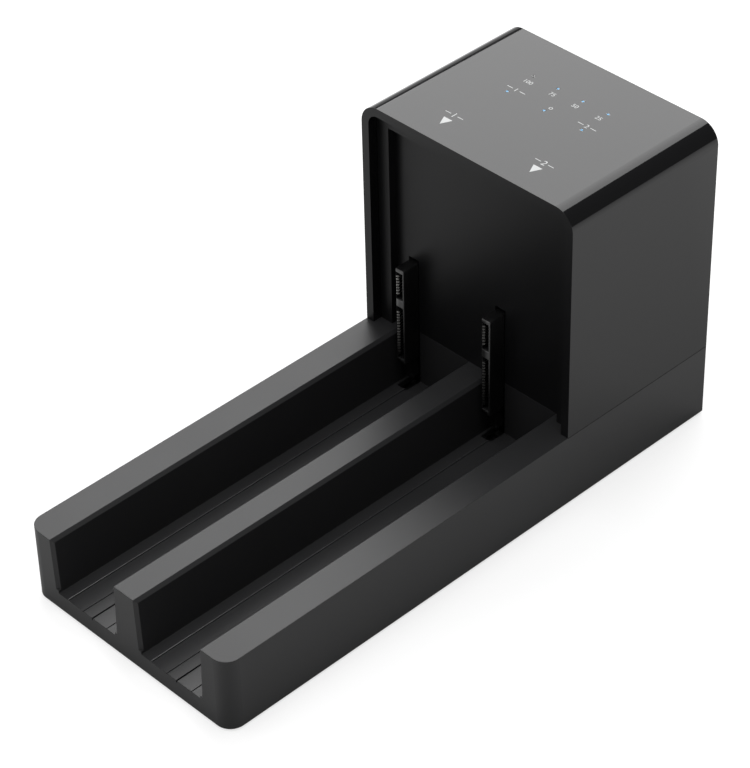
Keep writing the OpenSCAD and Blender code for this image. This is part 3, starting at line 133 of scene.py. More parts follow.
class DockMarks(bpy.types.PropertyGroup):
    """Printed marks and lamps on the hood's top"""

    ink_colour: FloatVectorProperty(
        name="Ink", description="Colour of the printed marks",
        subtype="COLOR", size=3, min=0, max=1, default=(0.5, 0.51, 0.51))
    glow_colour: FloatVectorProperty(
        name="Lamps", description="Colour of the light that comes out of the lit lamps",
        subtype="COLOR", size=3, min=0, max=1, default=(0.04, 0.42, 0.8))
    lamp_radius: FloatProperty(
        name="Lamp radius", description="Radius of the spot of light in each lit lamp",
        subtype="DISTANCE", unit="LENGTH", default=0.6 * MM, min=0.3 * MM, max=2 * MM)
    digit_height: FloatProperty(
        name="Digit height", description="Height of the printed digits",
        subtype="DISTANCE", unit="LENGTH", default=1.9 * MM, min=0.5 * MM, max=6 * MM)
    ink_thickness: FloatProperty(
        name="Ink thickness", description="How far the print stands off the hood",
        subtype="DISTANCE", unit="LENGTH", default=0.02 * MM, min=0.005 * MM, max=0.1 * MM)


class DockConnectors(bpy.types.PropertyGroup):
    """The two drive connectors"""

    body_colour: FloatVectorProperty(
        name="Connector", description="Colour of the connectors' plastic",
        subtype="COLOR", size=3, min=0, max=1, default=(0.004, 0.004, 0.0042))
    # The pale colour of the highlight that is painted on the connectors' front rims
    painted_highlight_colour: FloatVectorProperty(
        name="Painted edge highlight", description="Colour of the connectors' edges, painted as a highlight",
        subtype="COLOR", size=3, min=0, max=1, default=(0.085, 0.085, 0.085))
    contact_colour: FloatVectorProperty(
        name="Contacts", description="Colour of the contacts' plating",
        subtype="COLOR", size=3, min=0, max=1, default=(0.62, 0.61, 0.59))
    pitch: FloatProperty(
        name="Pitch", description="Distance from one contact to the next",
        subtype="DISTANCE", unit="LENGTH", default=1.27 * MM, min=1 * MM, max=1.4 * MM)


class DockStage(bpy.types.PropertyGroup):
    """Camera, floor and light"""

    lens: FloatProperty(
        name="Lens", description="Focal length of the camera, in millimetres",
        default=138.99, min=20, max=400)
    distance: FloatProperty(
        name="Distance", description="Distance from the camera to its target",
        subtype="DISTANCE", unit="LENGTH", default=1.01873, min=0.3, max=5)
    azimuth: FloatProperty(
        name="Azimuth", description="Direction of the camera, counted from the front towards the right",
        subtype="ANGLE", unit="ROTATION", default=math.radians(46.6567))
    elevation: FloatProperty(
        name="Elevation", description="Height of the camera above the horizon",
        subtype="ANGLE", unit="ROTATION", default=math.radians(38.3536))
    roll: FloatProperty(
        name="Roll", description="Turn of the camera about its own axis",
        subtype="ANGLE", unit="ROTATION", default=math.radians(1.5543))
    target: FloatVectorProperty(
        name="Target", description="Point that the camera looks at",
        subtype="TRANSLATION", unit="LENGTH", size=3, default=(1.129 * MM, -3.886 * MM, 53.571 * MM))
    room: FloatProperty(
        name="Room", description="How bright the room is that the glossy surfaces mirror",
        default=0.18, min=0, max=2)
    floor_size: FloatProperty(
        name="Floor", description="Width of the floor",
        subtype="DISTANCE", unit="LENGTH", default=12, min=1, max=50)


class Value:
    """A number that flows through a material's nodes. Arithmetic on it adds Math nodes."""

    def __init__(self, look, socket):
        self.look = look
        self.socket = socket

    def math(self, operation, *others):
        """One Math node, of which this number is the first input."""
        return self.look.node("ShaderNodeMath", self, *others, operation=operation)

    def held(self, low, high):
        """The number, kept between two others."""
        return self.math("MAXIMUM", low).math("MINIMUM", high)

    def __add__(self, other):
        return self.math("ADD", other)

    def __radd__(self, other):
        return self.math("ADD", other)

    def __sub__(self, other):
        return self.math("SUBTRACT", other)

    def __rsub__(self, other):
        return self.look.node("ShaderNodeMath", other, self, operation="SUBTRACT")

    def __mul__(self, other):
        return self.math("MULTIPLY", other)

    def __truediv__(self, other):
        return self.math("DIVIDE", other)

    def __lt__(self, other):
        return self.math("LESS_THAN", other)

    def __gt__(self, other):
        return self.math("GREATER_THAN", other)


class Look:
    """A material being built, or a world: its nodes, and the shader that they feed."""

    def __init__(self, name, world=None):
        self.material = world or bpy.data.materials.new(name)
        self.material.use_nodes = True
        self.tree = self.material.node_tree
        self.tree.nodes.clear()
        self.output = self.tree.nodes.new("ShaderNodeOutputWorld" if world else "ShaderNodeOutputMaterial")

    def put(self, socket, value):
        """Gives an input socket a value, or links it."""
        if isinstance(value, Value):
            self.tree.links.new(value.socket, socket)
        elif hasattr(socket.default_value, "__len__") and len(socket.default_value) == 4 and len(value) == 3:
            socket.default_value = (*value, 1)
        else:
            socket.default_value = value

    def node(self, kind, *values, out=0, inputs=None, **settings):
        """Adds a node. Its settings come first, because they decide which inputs it shows."""
        made = self.tree.nodes.new(kind)
        for key, value in settings.items():
            setattr(made, key, value)
        shown = [s for s in made.inputs if s.enabled]
        for place, value in enumerate(values):
            self.put(shown[place], value)
        for key, value in (inputs or {}).items():
            self.put(made.inputs[key], value)
        return Value(self, made.outputs[out])

    def place(self):
        """Object coordinates, which are metres in the object's own frame."""
        return self.node("ShaderNodeTexCoord", out="Object")

    def axes(self):
        """Places across, along and up, as three numbers."""
        split = self.node("ShaderNodeSeparateXYZ", self.place()).socket.node
        return [Value(self, place) for place in split.outputs]

    def stretched(self, scale):
        """Object coordinates scaled along each axis."""
        return self.node("ShaderNodeMapping", inputs={"Vector": self.place(), "Scale": scale})

    def ray(self, kind):
        """1 for one kind of ray and 0 for the others."""
        return self.node("ShaderNodeLightPath", out=f"Is {kind} Ray")

    def noise(self, size, detail=2.0, rough=0.5, vector=None):
        """Noise whose blobs are about one size across, from 0 to 1."""
        return self.node("ShaderNodeTexNoise", out="Fac", inputs={
            "Vector": vector or self.place(), "Scale": 1 / size, "Detail": detail, "Roughness": rough})

    def blend(self, factor, low, high):
        """Mix of two colours. The node has sockets for other kinds of value too: these are for colours."""
        made = self.node("ShaderNodeMix", data_type="RGBA", out=2)
        mix = made.socket.node
        self.put(mix.inputs[0], factor)
        self.put(mix.inputs[6], low)
        self.put(mix.inputs[7], high)
        return made

    def bump(self, height, depth, edge=0):
        """Relief as a normal, over edges that are rounded off by a radius."""
        inputs = {"Height": height, "Distance": depth, "Strength": 1.0}
        if edge:
            inputs["Normal"] = self.node("ShaderNodeBevel", samples=4, inputs={"Radius": edge})
        return self.node("ShaderNodeBump", out="Normal", inputs=inputs)

    def shader(self, **sockets):
        """Principled shader with the given sockets."""
        names = {"colour": "Base Color", "roughness": "Roughness", "metallic": "Metallic", "normal": "Normal",
                 "specular": "Specular IOR Level", "ior": "IOR", "transmission": "Transmission Weight",
                 "glow": "Emission Color", "glow_strength": "Emission Strength"}
        return self.node("ShaderNodeBsdfPrincipled", inputs={names[k]: v for k, v in sockets.items()})

    def surface(self, shader=None, **sockets):
        """Makes a shader, or one with the given sockets, the material's surface."""
        shader = shader or self.shader(**sockets)
        self.tree.links.new(shader.socket, self.output.inputs["Surface"])
        return self.material


def toned(colour, factor):
    """A colour made darker or lighter."""
    return [factor * c for c in colour]


def grey(level):
    """A colour without any hue."""
    return (level, level, level)


def joint_line(look, height, start, half_width, back, width=0.32 * MM, skin=0.05 * MM):
    """1 on a fine line round the outer skin, at a height and behind a start: the joint of two mouldings."""
    across, along, up = look.axes()
    outside = (across.math("ABSOLUTE") > half_width - skin).math("MAXIMUM", along > back - skin)
    return ((up - height).math("ABSOLUTE") < width) * (along > start) * outside


def moulded(name, colour, rough, grain, depth, joint=None, specular=0.5, edge=0):
    """Moulded plastic with a fine spark eroded grain and a faint uneven sheen."""
    look = Look(name)
    fine = look.noise(grain, detail=1.0)
    patches = look.noise(30 * MM, detail=3.0)
    tone = look.blend(patches, toned(colour, 0.88), toned(colour, 1.12))
    if joint:
        line = joint_line(look, *joint)
        tone = look.blend(line, tone, grey(0.0005))
        rough = rough + line * 0.5
    return look.surface(colour=tone, roughness=rough + (patches - 0.5) * 0.06 + (fine - 0.5) * 0.08,
                        normal=look.bump(fine, depth, edge), specular=specular)


def socket_plastic(name, colour, painted_highlight_colour, middle, front):
    """Satin plastic of a connector. A pale highlight is painted on its front rim, most of all at the top and
    on the right.
    """
    look = Look(name)
    fine = look.noise(0.1 * MM, detail=1.0)
    across, along, up = look.axes()
    # Painted highlight: the front rim is painted pale, less so lower down and towards the left, as light
    # falls on it
    rim = ((front + 0.3 * MM - along) / (0.2 * MM)).held(0.0, 1.0)
    high = ((up - 26 * MM) / (20 * MM)).held(0.1, 1.0)
    right = ((across - middle) / (2 * MM) + 0.5).held(0.2, 1.0)
    painted_highlight = rim * high * right
    return look.surface(colour=look.blend(painted_highlight, colour, painted_highlight_colour), roughness=0.24 + painted_highlight * 0.2,
                        normal=look.bump(fine, 0.004 * MM))


def polished(name, colour, rough, rim_y, rim_colour):
    """Glossy plastic with the faint waves of a polished mould and a trace of dust. Its front rim is satin."""
    look = Look(name)
    waves = look.noise(18 * MM, detail=0.0)
    smears = look.noise(9 * MM, detail=4.0, vector=look.stretched((1, 0.35, 1)))
    dust = look.noise(0.5 * MM, detail=2.0, rough=0.7) > 0.76
    tone = look.blend(dust * 0.25, colour, [c + 0.02 for c in colour])
    rim = look.axes()[1] < rim_y
    satin = look.shader(colour=rim_colour, roughness=0.4, specular=0.2)
    gloss = look.shader(colour=tone, roughness=rough + (smears - 0.5) * 0.05, specular=0.33,
                        normal=look.bump(waves, 0.01 * MM))
    return look.surface(look.node("ShaderNodeMixShader", rim, gloss, satin))


def brushed(name, colour, rough, along=(1, 1, 1), metallic=1.0, painted_shade_heights=None):
    """Metal with fine lines drawn one way. It can be painted darker, as shade, from one height down to
    another.
    """
    look = Look(name)
    lines = look.noise(0.12 * MM, vector=look.stretched(along))
    patches = look.noise(4 * MM)
    tone = look.blend(patches, toned(colour, 0.85), colour)
    # Painted shade: the colour darkens from one height down to the other
    if painted_shade_heights:
        unshaded_height, dark = painted_shade_heights
        bright = ((look.axes()[2] - dark) / (unshaded_height - dark)).held(0.0, 1.0)
        tone = look.blend(bright, toned(colour, 0.12), tone)
    return look.surface(colour=tone, metallic=metallic, roughness=rough + (lines - 0.5) * 0.12,
                        normal=look.bump(lines, 0.003 * MM))


def circuit_board(name, mask):
    """Solder mask over copper: tracks and ground areas show through it, and bare tinned vias stand in it."""
    look = Look(name)
    cells = {"Vector": look.place(), "Scale": 1 / (4.5 * MM), "Randomness": 0.9}
    near, next_near = (
        look.node("ShaderNodeTexVoronoi", feature=feature, distance="CHEBYCHEV", out="Distance", inputs=cells)
        for feature in ("F1", "F2"))
    track = (next_near - near) < 0.09
    ground = look.noise(14 * MM, detail=0.0) > 0.58
    copper = track.math("MAXIMUM", ground)
    hole = look.node("ShaderNodeTexVoronoi", out="Distance",
                     inputs={"Vector": look.place(), "Scale": 1 / (3.2 * MM)})
    via = hole < 0.11
    tone = look.blend(copper, toned(mask, 0.45), mask)
    return look.surface(colour=look.blend(via, tone, (0.6, 0.6, 0.57)), metallic=via,
                        roughness=0.32 - via * 0.08, normal=look.bump(copper, 0.03 * MM))


def clear_guide(name, glow, spots, radius):
    """Smoked acrylic, in which light glows over each of the given spots."""
    look = Look(name)
    across, along = look.axes()[:2]
    light = 0
    for x, y in spots:
        near = (across - x * MM).math("POWER", 2) + (along - y * MM).math("POWER", 2)
        light = (1 - near / radius ** 2).math("MAXIMUM", 0) + light
    return look.surface(colour=(0.25, 0.27, 0.3), transmission=1.0, roughness=0.08, ior=1.49,
                        glow=look.blend(light, grey(0), glow), glow_strength=1.0)


def flat_cable(name, colour, pitch):
    """White ribbon cable: a ridge for each wire, which runs down the cable."""
    look = Look(name)
    ridge = (look.axes()[0] * (math.pi / pitch)).math("SINE").math("ABSOLUTE")
    # The colour is darker between the wires: painted shade in the grooves
    return look.surface(colour=look.blend(ridge, toned(colour, 0.6), colour), roughness=0.45 - ridge * 0.08,
                        normal=look.bump(ridge, 0.15 * MM))


def printed(name, colour, speckle, rough):
    """Printing ink, a little scuffed."""
    look = Look(name)
    return look.surface(colour=look.blend(look.noise(speckle), toned(colour, 0.8), colour), roughness=rough)


def assign(material, *nodes):
    """Gives CAD nodes a material, in every slot that they have."""
    for name in nodes:
        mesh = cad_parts[name].data
        if not mesh.materials:
            mesh.materials.append(material)
        for i in range(len(mesh.materials)):
            mesh.materials[i] = material


def activate(piece):
    """Makes a piece the only one selected, and the active one."""
    bpy.ops.object.select_all(action="DESELECT")
    bpy.context.view_layer.objects.active = piece
    piece.select_set(True)


def block(name, low, high):
    """A box between two corners, in millimetres, whose object stays at the origin."""
    bpy.ops.object.select_all(action="DESELECT")
    bpy.ops.mesh.primitive_cube_add(size=1)
    made = bpy.context.object
    made.name = name
    made.location = [(a + b) / 2 * MM for a, b in zip(low, high)]
    made.scale = [(b - a) * MM for a, b in zip(low, high)]
    bpy.ops.object.transform_apply(location=True, rotation=True, scale=True)
    return made


def pick(kind, test):
    """Selects the faces, edges or corners whose middle, in millimetres, and direction pass a test."""
    bpy.ops.mesh.select_mode(type=kind)
    bpy.ops.mesh.select_all(action="DESELECT")
    mesh = bmesh.from_edit_mesh(bpy.context.object.data)
    for item in {"FACE": mesh.faces, "EDGE": mesh.edges, "VERT": mesh.verts}[kind]:
        corners = [item] if kind == "VERT" else item.verts
        place = sum((v.co for v in corners), Vector()) / len(corners) / MM
        normal = item.normal if kind != "EDGE" else (item.verts[1].co - item.verts[0].co).normalized()
        if test(place, normal):
            item.select_set(True)
    mesh.select_flush_mode()
    bmesh.update_edit_mesh(bpy.context.object.data)


def soften(width, segments=2):
    """Rounds the selected edges off, by a width in millimetres."""
    bpy.ops.mesh.bevel(offset=width * MM, segments=segments)


def slide(x=0, y=0, z=0):
    """Moves what is selected, in millimetres."""
    bpy.ops.transform.translate(value=(x * MM, y * MM, z * MM))


def slice_at(x=None, y=None, z=None):
    """Cuts new edges through the whole mesh, across one axis, at a place in millimetres."""
    bpy.ops.mesh.select_all(action="SELECT")
    place = [0 if a is None else a * MM for a in (x, y, z)]
    bpy.ops.mesh.bisect(plane_co=place, plane_no=[a is not None for a in (x, y, z)])


def joined(pieces, name):
    """Several objects as one."""
    bpy.ops.object.select_all(action="DESELECT")
    for piece in pieces:
        piece.select_set(True)
    bpy.context.view_layer.objects.active = pieces[0]
    bpy.ops.object.join()
    bpy.context.object.name = name
    return bpy.context.object


def copied(piece, x=0, y=0, z=0):
    """A copy with its own mesh, moved by millimetres."""
    made = piece.copy()
    made.data = piece.data.copy()
    bpy.context.scene.collection.objects.link(made)
    made.data.transform(Matrix.Translation((x * MM, y * MM, z * MM)))
    return made


def cut_out(piece, cutter):
    """Takes one object out of another, and removes it."""
    activate(piece)
    cut = piece.modifiers.new("cut", "BOOLEAN")
    cut.operation = "DIFFERENCE"
    cut.solver = "EXACT"
    cut.use_self = True
    cut.object = cutter
    bpy.ops.object.modifier_apply(modifier="cut")
    bpy.data.objects.remove(cutter)


def flat_ring(sides, radius, width, place=(0, 0, 0)):
    """A flat ring at a place, all in millimetres."""
    bpy.ops.object.select_all(action="DESELECT")
    bpy.ops.mesh.primitive_circle_add(vertices=sides, radius=radius * MM, fill_type="NGON",
                                      location=[a * MM for a in place])
    bpy.ops.object.transform_apply(location=True, rotation=True, scale=True)
    bpy.ops.object.mode_set(mode="EDIT")
    bpy.ops.mesh.select_all(action="SELECT")
    bpy.ops.mesh.inset(thickness=width * MM)
    bpy.ops.mesh.delete(type="FACE")
    bpy.ops.object.mode_set(mode="OBJECT")
    return bpy.context.object


def thickened(sign, height):
    """A flat sign made solid, by a height in metres."""
    activate(sign)
    bpy.ops.object.mode_set(mode="EDIT")
    bpy.ops.mesh.select_all(action="SELECT")
    bpy.ops.mesh.remove_doubles(threshold=0.00001 * MM)
    bpy.ops.mesh.normals_make_consistent(inside=False)
    bpy.ops.mesh.extrude_region_move(TRANSFORM_OT_translate={"value": (0, 0, height)})
    bpy.ops.mesh.select_all(action="SELECT")
    bpy.ops.mesh.normals_make_consistent(inside=False)
    bpy.ops.object.mode_set(mode="OBJECT")
    return sign


def finish_piece(piece, material, body="housing"):
    """Shades a piece smooth up to its sharp edges, gives it its material and lets it ride on its body."""
    activate(piece)
    bpy.ops.object.shade_smooth_by_angle(angle=math.radians(35))
    piece.data.materials.clear()
    piece.data.materials.append(material)
    for face in piece.data.polygons:
        face.material_index = 0
    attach(piece, body)


class DOCK_OT_add_connectors(bpy.types.Operator):
    """Model the two drive connectors, with their guided mouths and spring contacts"""

    bl_idname = "dock.add_connectors"
    bl_label = "Add the Drive Connectors"

    def execute(self, context):
        c = context.scene.dock_connectors
        # Each connector's contacts get their own share of the plating's colour: painted shade, darker on the
        # right
        for side, painted_light_share in CONTACT_PAINTED_LIGHT.items():
            # The contacts are painted darker from 42 mm down to 24 mm: painted shade
            gold = brushed("spring_gold_" + side, toned(c.contact_colour, painted_light_share), 0.5, along=(1, 0.1, 1),
                           metallic=0.7, painted_shade_heights=(42 * MM, 24 * MM))
            low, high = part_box("sata_connector_" + side)
            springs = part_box("sata_contacts_" + side)
            x, front, back = (low.x + high.x) / 2 / MM, low.y / MM, springs[1].y / MM
            bottom, top = low.z / MM, high.z / MM
            body = socket_plastic("socket_plastic_" + side, c.body_colour, c.painted_highlight_colour, x * MM, low.y)
            rows = self.rows(bottom + ROOT_DROP, top, c.pitch / MM)
            shell = self.shell(x, front, back, bottom, top)
            cut_out(shell, self.mouths(x, front, back, bottom + ROOT_DROP, top, rows))
            shell.name = "drive_socket_" + side
            finish_piece(shell, body)
            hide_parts("sata_connector_" + side)
            blade = self.blade(x, front, back, rows[0])
            blades = [blade] + [copied(blade, z=z - rows[0]) for z in rows[1:]]
            contacts = joined(blades, "spring_contacts_" + side)
            finish_piece(contacts, gold)
            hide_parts("sata_contacts_" + side)
        return {"FINISHED"}

    def rows(self, low, high, pitch):
        """Heights of the power contacts and the signal contacts."""
        power = low + ROW_INSET + POWER_ROW / 2
        signal = high - ROW_INSET - SIGNAL_ROW / 2
        heights = [power + (i - POWER_CONTACTS // 2) * pitch for i in range(POWER_CONTACTS)]
        return heights + [signal + (i - SIGNAL_CONTACTS // 2) * pitch for i in range(SIGNAL_CONTACTS)]

    def shell(self, x, front, back, bottom, top):
        """The body: a slim bar with softened edges, whose root stands further back, on two pegs."""
        half, root, foot = 2.1, front + 3.4, bottom + ROOT_DROP
        made = block("shell", (x - half, front, foot), (x + half, back, top))
        bpy.ops.object.mode_set(mode="EDIT")
        slice_at(y=root)
        pick("FACE", lambda p, n: n.z < -0.9 and p.y > root)
        bpy.ops.mesh.extrude_region_move(TRANSFORM_OT_translate={"value": (0, 0, -ROOT_DROP * MM)})
        pick("EDGE", lambda p, d: abs(p.y - front) < 0.01)
        soften(0.45)
        pick("EDGE", lambda p, d: abs(d.y) > 0.9 and (p.z > top - 0.1 or p.z < foot + 0.1))
        soften(0.35)
        bpy.ops.object.mode_set(mode="OBJECT")
        pegs = [self.peg(x, back, z) for z in (bottom + 3, top - 3)]
        return joined([made, *pegs], "shell")

    def peg(self, x, back, z, radius=0.8, length=1.6):
        """A round peg behind the body, with a softened end."""
        bpy.ops.mesh.primitive_cylinder_add(
            vertices=24, radius=radius * MM, depth=length * MM,
            location=(x * MM, (back + length / 2) * MM, z * MM), rotation=(math.pi / 2, 0, 0))
        bpy.ops.object.transform_apply(location=True, rotation=True, scale=True)
        bpy.ops.object.mode_set(mode="EDIT")
        pick("FACE", lambda p, n: n.y > 0.9)
        soften(0.2, segments=1)
        bpy.ops.object.mode_set(mode="OBJECT")
        return bpy.context.object

    def mouths(self, x, front, back, low, high, rows):
        """What is cut out: two L-shaped mouths that flare at the front, and a groove for each contact."""
        cutters = []
        inner, ahead, flare, left_flare = front + 6, front - 0.5, 0.7, 1.8
        power_mouth, signal_mouth = (low + 1.9, low + 24.9), (high - 13.2, high - 1.9)
        for bottom, top in (power_mouth, signal_mouth):
            made = block("mouth", (x - 1, ahead, bottom), (x + 1.15, inner, top))
            bpy.ops.object.mode_set(mode="EDIT")
            slice_at(y=front + flare)
            pick("VERT", lambda p, n: p.y < front and p.x < x)
            slide(x=-left_flare)
            pick("VERT", lambda p, n: p.y < front and p.x > x)
            slide(x=flare)
            pick("VERT", lambda p, n: p.y < front and p.z < (bottom + top) / 2)
            slide(z=-flare)
            pick("VERT", lambda p, n: p.y < front and p.z > (bottom + top) / 2)
            slide(z=flare)
            bpy.ops.object.mode_set(mode="OBJECT")
            cutters.append(made)
            cutters.append(block("leg", (x - 1.6, ahead, bottom), (x - 0.5, inner, bottom + 1.3)))
        half = 0.38
        groove = block("groove", (x - 1.9, ahead, rows[0] - half), (x - 0.5, back + 0.5, rows[0] + half))
        cutters += [groove] + [copied(groove, z=z - rows[0]) for z in rows[1:]]
        return joined(cutters, "mouths")

    def blade(self, x, front, back, z):
        """One spring contact. It bows into the mouth and its end curls back into its groove."""
        half = 0.33
        made = block("blade", (x - 1.3, front + 0.15, z - half), (x - 1.05, back, z + half))
        bends = [(front + y, bow) for y, bow in (
            (0.15, -0.45), (0.45, -0.1), (0.8, 0.12), (1.2, -0.1), (1.7, -0.5), (3, -0.5), (4, 0.2),
            (4.8, 0.3), (5.8, -0.1))]
        bpy.ops.object.mode_set(mode="EDIT")
        for y, bow in bends[1:]:
            slice_at(y=y)
        for y, bow in bends:
            pick("VERT", lambda p, n: abs(p.y - y) < 0.05)
            slide(x=bow)
        bpy.ops.object.mode_set(mode="OBJECT")
        return made


class DOCK_OT_finish_housing(bpy.types.Operator):
    """Finish the base, the hood and the two panels"""

    bl_idname = "dock.finish_housing"
    bl_label = "Finish the Housing"

    def execute(self, context):
        f = context.scene.dock_finishes
        hood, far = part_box("tower_hood")
        joint = (hood.z, hood.y, far.x, far.y)
        assign(moulded("base_plastic", f.base_colour, 0.4, f.grain, f.grain_depth, joint, 0.42, 0.3 * MM),
               "base_tray")
        assign(moulded("cover_plastic", f.base_colour, 0.42, f.grain, f.grain_depth), "bottom_cover")
        assign(moulded("panel_plastic", f.panel_colour, 0.4, f.grain, f.grain_depth, specular=0.2),
               "front_panel", "rear_panel")
        rim_y = hood.y + 0.1 * MM
        assign(polished("hood_plastic", f.hood_colour, 0.07, rim_y, f.panel_colour), "tower_hood")
        rubber = moulded("foot_rubber", (0.02, 0.02, 0.02), 0.75, 0.5 * MM, 0.02 * MM)
        assign(rubber, "foot_front_left", "foot_front_right", "foot_rear_left", "foot_rear_right")
        return {"FINISHED"}


class DOCK_OT_add_switch_marks(bpy.types.Operator):
    """Print a bar and a ring on the two halves of the rocker"""

    bl_idname = "dock.add_switch_marks"
    bl_label = "Add the Switch Marks"

    def execute(self, context):
        m = context.scene.dock_marks
        halves = self.halves(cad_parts["power_rocker"].data)
        half_width, half_length = SWITCH_BAR[0] / 2, SWITCH_BAR[1] / 2
        bar = block("bar", (-half_width, -half_length, 0), (half_width, half_length, SWITCH_MARK_HEIGHT))
        ring = thickened(flat_ring(40, SWITCH_RING_RADIUS, SWITCH_RING_WIDTH), SWITCH_MARK_HEIGHT * MM)
        for sign, (place, normal) in zip((bar, ring), halves):
            up = (Vector((0, 0, 1)) - normal * normal.z).normalized()
            turn = Matrix((up.cross(normal), up, normal)).transposed().to_4x4()
            sign.data.transform(Matrix.Translation(place) @ turn)
        ink = printed("switch_print", m.ink_colour, 0.4 * MM, 0.45)
        finish_piece(joined([bar, ring], "switch_marks"), ink, body="rocker")
        return {"FINISHED"}

    def halves(self, mesh):
        """Middle and normal of the rocker's two outer faces, from the left one to the right one."""
        found = []
        for face in sorted(mesh.polygons, key=lambda f: -f.area):
            if face.normal.y > 0.8 and all((face.normal - n).length > 0.1 for p, n in found):
                same = [f for f in mesh.polygons if (f.normal - face.normal).length < 0.02]
                area = sum(f.area for f in same)
                found.append((sum((f.center * f.area for f in same), Vector()) / area, face.normal.copy()))
        return sorted(found[:2], key=lambda half: half[0].x)


class DOCK_OT_add_guides(bpy.types.Operator):
    """Add the rounded guide ridge in the floor of each channel"""

    bl_idname = "dock.add_guides"
    bl_label = "Add the Guide Ridges"

    def execute(self, context):
        f = context.scene.dock_finishes
        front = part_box("base_tray")[0].y / MM
        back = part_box("tower_hood")[0].y / MM
        rods = []
        for x in RIDGE_PLACES:
            bpy.ops.object.select_all(action="DESELECT")
            bpy.ops.mesh.primitive_cylinder_add(
                vertices=20, radius=RIDGE_RADIUS * MM, depth=(back - front - 0.1) * MM,
                location=(x * MM, (front + back) / 2 * MM, RIDGE_HEIGHT * MM), rotation=(math.pi / 2, 0, 0))
            bpy.ops.object.transform_apply(location=True, rotation=True, scale=True)
            rods.append(bpy.context.object)
            bpy.ops.object.mode_set(mode="EDIT")
            bpy.ops.mesh.select_all(action="SELECT")
            bpy.ops.mesh.bisect(plane_co=(0, 0, RIDGE_CUT * MM), plane_no=(0, 0, 1), clear_inner=True,
                                use_fill=True)
            pick("FACE", lambda p, n: abs(n.y) > 0.9)
            soften(0.15)
            bpy.ops.object.mode_set(mode="OBJECT")
        # The ridges' plastic is painted lighter than the base's: a painted highlight along each ridge
        ridge_highlight_plastic = moulded("ridge_plastic", toned(f.base_colour, 1.8), 0.26, 0.3 * MM, 0.002 * MM)
        finish_piece(joined(rods, "guide_ridges"), ridge_highlight_plastic)
        return {"FINISHED"}


class DOCK_OT_finish_insides(bpy.types.Operator):
    """Finish the boards, their parts, the cables and the screws"""

    bl_idname = "dock.finish_insides"
    bl_label = "Finish the Insides"

    def execute(self, context):
        assign(circuit_board("board_green", (0.012, 0.11, 0.035)), "main_board", "rear_board", "lamp_board")
        assign(moulded("chip_black", (0.014, 0.014, 0.015), 0.5, 0.08 * MM, 0.006 * MM),
               "control_chip", "bridge_chips", "flash_chip", "power_coils")
        assign(brushed("can_metal", (0.74, 0.74, 0.76), 0.28), "crystals", "capacitors")
        assign(brushed("zinc_steel", (0.68, 0.69, 0.72), 0.3), "front_panel_screws", "hood_screws",
               "lamp_board_screws", "main_board_screws", "rear_board_screws")
        assign(brushed("black_steel", (0.035, 0.035, 0.038), 0.38, metallic=0.6),
               "cover_screws", "rear_panel_screws")
        assign(moulded("socket_black", (0.011, 0.011, 0.012), 0.36, 0.1 * MM, 0.004 * MM),
               "link_header", "link_socket", "clone_switch", "light_baffle", "power_inlet")
        assign(brushed("contact_gold", (0.83, 0.6, 0.26), 0.24, along=(1, 0.1, 1)), "link_pins")
        assign(moulded("wire_red", (0.5, 0.015, 0.012), 0.35, 0.2 * MM, 0.01 * MM), "switch_wires")
        assign(moulded("lamp_white", (0.75, 0.76, 0.7), 0.4, 0.2 * MM, 0.005 * MM), "lamps")
        assign(flat_cable("ribbon_white", (0.68, 0.68, 0.66), 1 * MM), "ribbon_cable")
        assign(moulded("ribbon_socket", (0.62, 0.6, 0.53), 0.42, 0.15 * MM, 0.006 * MM),
               "main_ribbon_socket", "lamp_ribbon_socket")
        return {"FINISHED"}


class DOCK_OT_finish_rear(bpy.types.Operator):
    """Finish the sockets, the switch and the button in the rear side"""

    bl_idname = "dock.finish_rear"
    bl_label = "Finish the Rear Fittings"

    def execute(self, context):
        assign(brushed("port_steel", (0.62, 0.62, 0.64), 0.26, along=(1, 0.1, 1)),
               "data_port_shell", "power_inlet_pin", "power_switch_terminals")
        assign(moulded("port_blue", (0.012, 0.06, 0.42), 0.36, 0.12 * MM, 0.004 * MM), "data_port_core")
        assign(moulded("switch_black", (0.012, 0.012, 0.0125), 0.3, 0.2 * MM, 0.004 * MM),
               "power_switch_body", "power_rocker", "clone_button")
        return {"FINISHED"}


